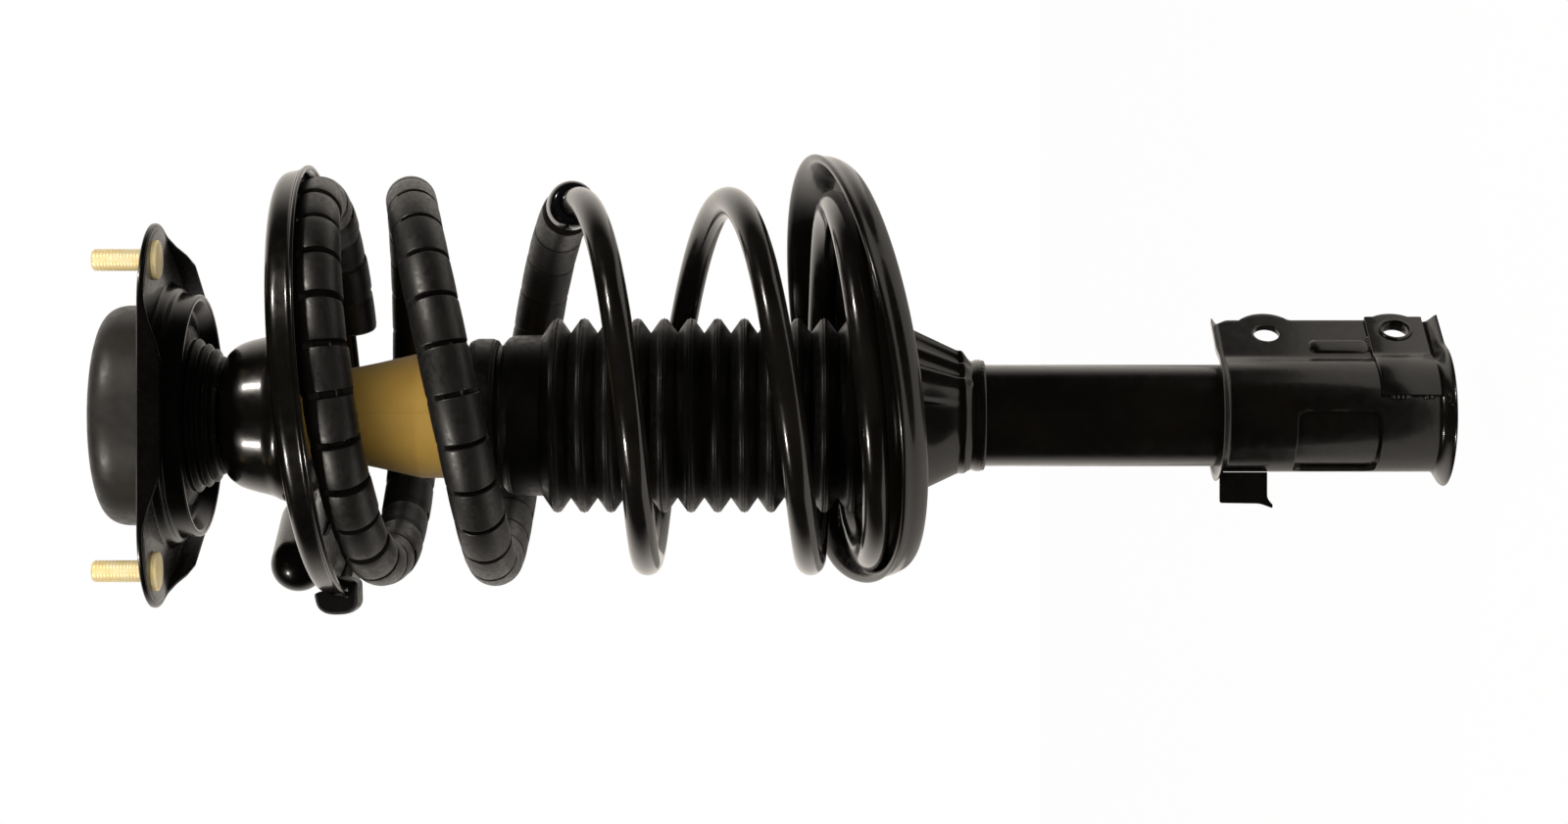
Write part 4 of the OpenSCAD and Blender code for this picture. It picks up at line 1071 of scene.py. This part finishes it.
def window_cutter():
    """A block round the back of the wrap, lower at its two ends so that the window's corners
    are round."""
    first, last, count = 138, 222, 57
    azimuth = np.linspace(first, last, count)
    near = np.minimum(1, np.minimum(azimuth - first, last - azimuth) / 9)
    half_height = WINDOW_HALF - 4 * (1 - np.sqrt(1 - (1 - near) ** 2))
    radii = np.array([21.0, 34.0, 34.0, 21.0])
    side = np.array([-1.0, -1.0, 1.0, 1.0])
    a = np.radians(azimuth)[:, None]
    return polar(radii, a, WINDOW_Z + side * half_height[:, None]), with_lids(count, 4)


def build_bracket(sheet):
    """Sections of the bracket at each height, flared at both ends, with ears that swell to a
    round lobe at each bolt hole. The holes and the window are cut out."""
    low, high = BRACKET_LOW, BRACKET_HIGH
    z = np.unique(np.concatenate([
        np.linspace(low, low + 8, 17), np.linspace(low + 8, high - 8, 60), np.linspace(high - 8, high, 17)
    ]))
    near = np.minimum(z - low, high - z)
    lower = z < (low + high) / 2
    lip = np.where(lower, LIP_LOW, LIP_HIGH)
    lip_reach = np.where(lower, LIP_REACH_LOW, LIP_REACH_HIGH)
    grow = lip * (1 - smooth(near / lip_reach)) ** 1.6
    lobes = [BOLT_X + np.sqrt(np.maximum(LOBE_R**2 - (z - bolt) ** 2, 0)) for bolt in BOLT_Z]
    reach = np.maximum(EAR_REACH, np.maximum(*lobes)) - 4.5 * (1 - smooth(near / 9))
    sections = np.stack([bracket_section(x, g, sheet) for x, g in zip(reach, grow)])
    count = sections.shape[1]
    grid = np.dstack([sections, np.repeat(z[:, None], count, 1)])
    faces = with_walled_ends(len(z), count)
    replaced = ["knuckle_bracket"]
    piece = make("knuckle_bracket_pressing", grid, faces, "gloss_black_paint", "damper", replaced)
    cut(piece, [*(bolt_bar(bolt, -60, 60, 48) for bolt in BOLT_Z), window_cutter()])


def build_strap():
    """A flat doubler on one ear that bends round the wrap. A bolt hole is cut in it."""
    r = WRAP_R + 0.05
    half, start = ear_and_bend(44.8, r, EAR_Y + 0.05)
    t = np.linspace(-start, math.radians(-122), 30)
    loop = walled(np.vstack([half, np.column_stack([r * np.cos(t), r * np.sin(t)])]), -STRAP_T)
    z = np.array([-586.4, -586.2, -585.6, -572, -560.4, -559.8, -559.5])
    inset = np.array([0.45, 0.15, 0, 0, 0, 0.15, 0.45])
    n = outward(loop, True) * (1 if area(loop) < 0 else -1)
    grid = np.stack([at_height(loop + n * d, h) for h, d in zip(z, inset)])
    faces = with_walled_ends(len(z), len(loop))
    piece = make("bracket_doubler", grid, faces, "gloss_black_paint", "damper", ["bracket_strap"])
    cut(piece, [bolt_bar(BOLT_Z[1], -60, 0, 40)], 0)


def build_strap_details():
    """The raised rim of the doubler's hole, the domed pad on the ear, and the doubler's
    welds."""
    rim = revolved(rounded([(6.3, 0), (6.5, 1.0), (7.8, 0.9), (8.3, 0)], 0.4), 48)
    on_ear = rim[..., [0, 2, 1]] * (1, -1, 1) + (BOLT_X, -EAR_Y - STRAP_T, BOLT_Z[1])
    make("doubler_hole_rim", on_ear, quads(len(rim), 48), "gloss_black_paint", "damper")
    pad = rounded([(18.9, -559), (28.9, -559), (28.9, -531), (18.9, -531)], 4)
    rise = np.linspace(0, np.pi / 2, 7)
    drawn_in = np.concatenate([[0], 1 - np.cos(rise)])
    height = np.concatenate([[0.6], -1.3 * np.sin(rise)])
    rows = pad + (pad.mean(0) - pad) * drawn_in[:, None, None] * (0.72, 0.26)
    out = np.repeat(height[:, None], len(pad), 1) - EAR_Y
    points = np.stack([rows[..., 0], out, rows[..., 1]], -1)
    make("ear_pad", points, with_lids(len(rows), len(pad)), "gloss_black_paint", "damper")
    edge = math.radians(-123)
    foot = (WRAP_R + 0.4) * np.array([math.cos(edge), math.sin(edge)])
    for k, (low, high) in enumerate(((-584, -578), (-573, -563))):
        weld(f"doubler_weld_{k}", [(*foot, low), (*foot, high)], 1.1, "damper")
    weld("doubler_weld_side", [(20, -EAR_Y - 0.3, -559.2), (31, -EAR_Y - 0.3, -559.2)], 1.0, "damper")


def build_clip():
    """Hose clip: a thin fin that stands on the wrap, with a turned tip."""
    turn = np.array(Matrix.Rotation(CLIP_AZ, 3, "Z"))
    fin = rounded(
        [(26.3, -510.8), (26.3, -488.7), (40.6, -488.7), (40.9, -507.5), (43.0, -513.2), (41.4, -513.4),
         (38.6, -510.8)],
        [0.3, 0.5, 1.2, 2, 0.5, 0.5, 2],
    )
    points, faces = slab(fin, -0.75, 0.75, 0.25)
    points = points[:, [0, 2, 1]] @ turn.T
    make("hose_clip_fin", points, faces, "gloss_black_paint", "damper", ["hose_clip"])


def weld(name, line, radius, body):
    """A bead of weld: a tube whose radius ripples along the line and closes at both ends."""
    p = fill(line, 0.5)
    along = np.gradient(p, axis=0)
    along /= np.linalg.norm(along, axis=1)[:, None]
    up = np.cross(along, np.array([0.3, 0.5, 0.81]))
    up /= np.linalg.norm(up, axis=1)[:, None]
    side = np.cross(along, up)
    sides = 14
    s = np.linspace(-1, 1, len(p))
    taper = np.sqrt(np.clip(1 - np.abs(s) ** 8, 0.0004, 1))
    size = radius * (1 + 0.13 * np.sin(np.arange(len(p)) * 1.5)) * taper
    grid = p[:, None] + size[:, None, None] * around(up, side, sides)
    make(name, grid, quads(len(p), sides, False, True), "gloss_black_paint", body, crease=60)


# ---- sizes and colours a user may change --------------------------------------------
def length(name, description, default):
    """A property that holds a length in metres."""
    return FloatProperty(name=name, description=description, default=default, min=0, unit="LENGTH")


def tone(name, description, default):
    """A property that holds a colour."""
    return FloatVectorProperty(name=name, description=description, default=default, subtype="COLOR")


def in_mm(value):
    """A length of a property, in millimetres to four places."""
    return round(value / MM, 4)


class StrutSizes(bpy.types.PropertyGroup):
    """Sizes of the pieces."""

    stud: length("Stud radius", "Radius of the studs' thread", 0.00495)
    wire: length("Wire radius", "Radius of the spring's wire", 0.00675)
    sleeve: length("Sleeve radius", "Outer radius of the sleeve's segments", 0.0116)
    stop: length("Bump stop radius", "Largest radius of the bump stop", 0.029)
    crest: length("Crest radius", "Radius of the boot's folds at a crest", 0.0454)
    root: length("Root radius", "Radius of the boot's folds at a root", 0.0368)
    tube: length("Tube radius", "Outer radius of the damper's tube", 0.0235)
    sheet: length("Bracket sheet", "Thickness of the bracket's sheet", 0.00255)


class StrutTones(bpy.types.PropertyGroup):
    """Colours of the finishes."""

    enamel: tone("Enamel", "Gloss black on seats, tube and bracket", (0.0019, 0.0017, 0.0014))
    spring: tone("Spring coat", "Powder coat on the spring's wire", (0.0026, 0.0023, 0.0019))
    plate: tone("Plate", "Satin black on the mount plate", (0.0008, 0.0007, 0.0006))
    can: tone("Can", "Dark coat on the domed can", (0.018, 0.0175, 0.0165))
    zinc: tone("Zinc", "Yellow zinc on the studs", (0.90, 0.72, 0.34))
    boot: tone("Boot", "Rubber of the folded boot", (0.0016, 0.0015, 0.0014))
    sleeve: tone("Sleeve", "Plastic of the segmented sleeve", (0.003, 0.0029, 0.0027))
    urethane: tone("Bump stop", "Ochre urethane", (0.47, 0.305, 0.07))


class StrutStudio(bpy.types.PropertyGroup):
    """Lamps, floor and surroundings."""

    key: FloatProperty(
        name="Key lamps", description="Power of the strip and core lamps", default=7, unit="POWER"
    )
    front: FloatProperty(
        name="Fill lamp", description="Power of the broad lamp beside the camera", default=14, unit="POWER"
    )
    room: FloatProperty(
        name="Room light", description="Brightness of the room on the viewer's side", default=0.008, min=0
    )
    floor: FloatProperty(
        name="Floor height", description="Height of the floor", default=-0.62, unit="LENGTH"
    )


# ---- operators ---------------------------------------------------------------------
# inner parts shown in the solids' own shape, and the finish of each
CARRIED = {
    "bearing_outer_race": "bearing_steel",
    "bearing_inner_race": "bearing_steel",
    "bearing_cage": "bearing_steel",
    "bearing_balls": "rod_chrome",
    "top_washer": "bearing_steel",
    "top_nut": "zinc_plate",
    "piston_rod": "rod_chrome",
    "rebound_stop": "satin_black_steel",
    "piston": "bearing_steel",
    "piston_band": "moulded_rubber",
    "piston_nut": "zinc_plate",
    "pressure_tube": "bearing_steel",
    "rod_guide": "bearing_steel",
    "guide_bush": "bush_bronze",
    "rod_seal": "moulded_rubber",
    "base_valve": "bearing_steel",
    "base_cap": "gloss_black_paint",
}


class STRUT_OT_finishes(bpy.types.Operator):
    """Makes every finish and gives the carried-over inner parts theirs"""

    bl_idname = "strut.finishes"
    bl_label = "Finishes"

    def execute(self, context):
        make_finishes(context.scene.strut_tones)
        for node, name in CARRIED.items():
            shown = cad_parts[node]
            shown.data.materials.clear()
            shown.data.materials.append(FINISHES[name])
        return {"FINISHED"}


class STRUT_OT_mount(bpy.types.Operator):
    """Builds the plate, can, studs and rubber of the upper mount"""

    bl_idname = "strut.mount"
    bl_label = "Upper mount"

    def execute(self, context):
        build_plate()
        build_can()
        build_studs(in_mm(context.scene.strut_sizes.stud))
        build_mount_rubber()
        return {"FINISHED"}


class STRUT_OT_seats(bpy.types.Operator):
    """Builds both spring seats, the insulator and the neck"""

    bl_idname = "strut.seats"
    bl_label = "Spring seats"

    def execute(self, context):
        build_upper_seat()
        build_pocket()
        build_insulator()
        build_lower_seat()
        build_neck()
        build_neck_weld()
        return {"FINISHED"}


class STRUT_OT_spring(bpy.types.Operator):
    """Winds the spring, its sleeve and the ring that ends it"""

    bl_idname = "strut.spring"
    bl_label = "Spring"

    def execute(self, context):
        sizes = context.scene.strut_sizes
        wire_r = in_mm(sizes.wire)
        build_spring(wire_r)
        build_sleeve(wire_r, in_mm(sizes.sleeve))
        build_sleeve_ring(wire_r)
        return {"FINISHED"}


class STRUT_OT_soft(bpy.types.Operator):
    """Builds the bump stop and the folded boot"""

    bl_idname = "strut.soft"
    bl_label = "Bump stop and boot"

    def execute(self, context):
        sizes = context.scene.strut_sizes
        build_bump_stop(in_mm(sizes.stop))
        build_boot(in_mm(sizes.crest), in_mm(sizes.root))
        return {"FINISHED"}


class STRUT_OT_damper(bpy.types.Operator):
    """Builds the damper tube, the knuckle bracket, its doubler and the hose clip"""

    bl_idname = "strut.damper"
    bl_label = "Damper and bracket"

    def execute(self, context):
        sizes = context.scene.strut_sizes
        build_tube(in_mm(sizes.tube))
        build_bracket(in_mm(sizes.sheet))
        build_strap()
        build_strap_details()
        build_clip()
        return {"FINISHED"}


class STRUT_OT_stage(bpy.types.Operator):
    """Sets up the camera, the lamps, the floor and the white surroundings"""

    bl_idname = "strut.stage"
    bl_label = "Studio"

    def execute(self, context):
        studio = context.scene.strut_studio
        build_camera()
        build_lamps(studio)
        build_floor(studio.floor)
        build_world(studio.room)
        context.scene.view_settings.view_transform = "Standard"
        return {"FINISHED"}


class STRUT_PT_panel(bpy.types.Panel):
    """Lists the strut's pieces, sizes, colours and studio"""

    bl_label = "Suspension strut"
    bl_space_type = "VIEW_3D"
    bl_region_type = "UI"
    bl_category = "Strut"

    def draw(self, context):
        scene = context.scene
        for group in (scene.strut_sizes, scene.strut_tones, scene.strut_studio):
            box = self.layout.box()
            for key in group.__annotations__:
                box.prop(group, key)
        for step in STEPS:
            self.layout.operator(step.bl_idname)


# ---- stage ---------------------------------------------------------------------------
LOOK = Vector((0.788, 0.616, 0)).normalized()
PICTURE_UP = Vector((0.616, -0.788, 0)).normalized()
TOP = Vector((0, 0, 1))
CAMERA_PLACE = -LOOK * 1.436 + PICTURE_UP * 0.0016 + Vector((0, 0, -0.2868))
LENS, SENSOR = 71.1, 36
STRUT_MIDDLE = Vector((0, 0, -0.28))
LAMP_DISTANCE = 1.3
KEY_WAY = -LOOK * 0.55 + TOP * 0.75
WARM = (1.0, 0.93, 0.85)
# how far the floor runs along the view and along the picture's height
FLOOR_CORNERS = ((-0.2, -0.6), (2.6, -0.6), (2.6, 0.6), (-0.2, 0.6))


def build_camera():
    """The camera looks square at the strut from the side, with the strut's top to the left."""
    data = bpy.data.cameras.new("view")
    data.lens, data.sensor_width = LENS, SENSOR
    camera = added("view", data)
    axes = Matrix((LOOK.cross(PICTURE_UP), PICTURE_UP, -LOOK)).transposed().to_4x4()
    camera.matrix_world = Matrix.Translation(CAMERA_PLACE) @ axes
    bpy.context.scene.camera = camera


def build_lamps(studio):
    """Two strips and two small bright cores beyond the strut's top, and two broad fills on
    the viewer's side that aren't seen in reflections."""
    lamps = (
        ("strip_high", KEY_WAY + PICTURE_UP * 0.66, 0.5, 0.1, studio.key * 0.1),
        ("strip_low", KEY_WAY - PICTURE_UP * 0.66, 0.5, 0.1, studio.key * 0.1),
        ("core_high", KEY_WAY + PICTURE_UP * 0.6, 0.1, 0.09, studio.key * 0.75),
        ("core_low", KEY_WAY - PICTURE_UP * 0.6, 0.1, 0.09, studio.key * 0.75),
        ("fill", -LOOK + TOP * 0.25, 1.2, 1.2, studio.front),
        ("fill_low", -LOOK * 0.7 - TOP * 0.7, 1.0, 1.0, studio.front * 0.7),
    )
    for name, way, wide, tall, power in lamps:
        lamp = bpy.data.lights.new(name, "AREA")
        lamp.shape, lamp.size, lamp.size_y, lamp.energy = "ELLIPSE", wide, tall, power
        lamp.color = WARM
        holder = added(name, lamp)
        holder.location = STRUT_MIDDLE + way.normalized() * LAMP_DISTANCE
        holder.visible_glossy = not name.startswith("fill")
        aim = (STRUT_MIDDLE - holder.location).normalized()
        across = (PICTURE_UP - aim * PICTURE_UP.dot(aim)).normalized()
        holder.rotation_mode = "QUATERNION"
        axes = Matrix((across, across.cross(aim), -aim)).transposed()
        holder.rotation_quaternion = axes.to_quaternion()


def build_floor(height):
    """A sheet of white paper under the strut that runs away behind it."""
    corners = [LOOK * a + PICTURE_UP * b + TOP * height for a, b in FLOOR_CORNERS]
    mesh = bpy.data.meshes.new("floor")
    mesh.from_pydata(corners, [], [[0, 1, 2, 3]])
    floor = added("floor", mesh)
    mesh.materials.append(floor_paper())


def floor_paper():
    """White paper that a camera ray sees near full white, so that only a soft shadow shows."""
    made = bpy.data.materials.new("floor_paper")
    made.use_nodes = True
    nodes, links = made.node_tree.nodes, made.node_tree.links
    nodes.clear()
    out = nodes.new("ShaderNodeOutputMaterial")
    mix = nodes.new("ShaderNodeMixShader")
    dull = nodes.new("ShaderNodeBsdfDiffuse")
    dull.inputs["Color"].default_value = (0.9, 0.9, 0.9, 1)
    glow = nodes.new("ShaderNodeEmission")
    path = nodes.new("ShaderNodeLightPath")
    share = nodes.new("ShaderNodeMath")
    share.operation = "MULTIPLY"
    share.inputs[1].default_value = 0.98
    links.new(path.outputs["Is Camera Ray"], share.inputs[0])
    links.new(share.outputs[0], mix.inputs["Fac"])
    links.new(dull.outputs[0], mix.inputs[1])
    links.new(glow.outputs[0], mix.inputs[2])
    links.new(mix.outputs[0], out.inputs["Surface"])
    return made


def build_world(room):
    """White to the camera; every surface sees a warm white wall behind the strut that falls
    off to a dim room on the viewer's side."""
    world = bpy.data.worlds.new("studio")
    bpy.context.scene.world = world
    world.use_nodes = True
    nodes, links = world.node_tree.nodes, world.node_tree.links
    back = nodes["Background"]
    where = nodes.new("ShaderNodeTexCoord")
    behind = nodes.new("ShaderNodeVectorMath")
    behind.operation = "DOT_PRODUCT"
    behind.inputs[1].default_value = LOOK
    links.new(where.outputs["Generated"], behind.inputs[0])
    fall = nodes.new("ShaderNodeMapRange")
    fall.interpolation_type = "SMOOTHSTEP"
    links.new(behind.outputs["Value"], fall.inputs["Value"])
    for key, number in (("From Min", 0.14), ("From Max", 0.72), ("To Min", room), ("To Max", 1.0)):
        fall.inputs[key].default_value = number
    path = nodes.new("ShaderNodeLightPath")
    seen = nodes.new("ShaderNodeMath")
    seen.operation = "MAXIMUM"
    links.new(path.outputs["Is Camera Ray"], seen.inputs[0])
    links.new(path.outputs["Is Transmission Ray"], seen.inputs[1])
    brighter = nodes.new("ShaderNodeMath")
    brighter.operation = "MAXIMUM"
    links.new(seen.outputs[0], brighter.inputs[0])
    links.new(fall.outputs["Result"], brighter.inputs[1])
    links.new(brighter.outputs[0], back.inputs["Strength"])
    tint = nodes.new("ShaderNodeMix")
    tint.data_type = "RGBA"
    tint.inputs[6].default_value = (*WARM, 1)
    tint.inputs[7].default_value = (1, 1, 1, 1)
    links.new(seen.outputs[0], tint.inputs["Factor"])
    links.new(tint.outputs[2], back.inputs["Color"])


STEPS = (
    STRUT_OT_finishes, STRUT_OT_mount, STRUT_OT_seats, STRUT_OT_spring, STRUT_OT_soft, STRUT_OT_damper,
    STRUT_OT_stage,
)
CLASSES = (StrutSizes, StrutTones, StrutStudio, *STEPS, STRUT_PT_panel)


def register():
    """Registers the classes and hangs the property groups on the scene."""
    for each in CLASSES:
        bpy.utils.register_class(each)
    bpy.types.Scene.strut_sizes = PointerProperty(type=StrutSizes)
    bpy.types.Scene.strut_tones = PointerProperty(type=StrutTones)
    bpy.types.Scene.strut_studio = PointerProperty(type=StrutStudio)


def unregister():
    """Takes back what register() did."""
    del bpy.types.Scene.strut_sizes
    del bpy.types.Scene.strut_tones
    del bpy.types.Scene.strut_studio
    for each in reversed(CLASSES):
        bpy.utils.unregister_class(each)


def main():
    """Builds every piece and the stage."""
    register()
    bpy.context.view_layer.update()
    for step in STEPS:
        group, name = step.bl_idname.split(".")
        getattr(getattr(bpy.ops, group), name)()


if __name__ == "__main__":
    main()
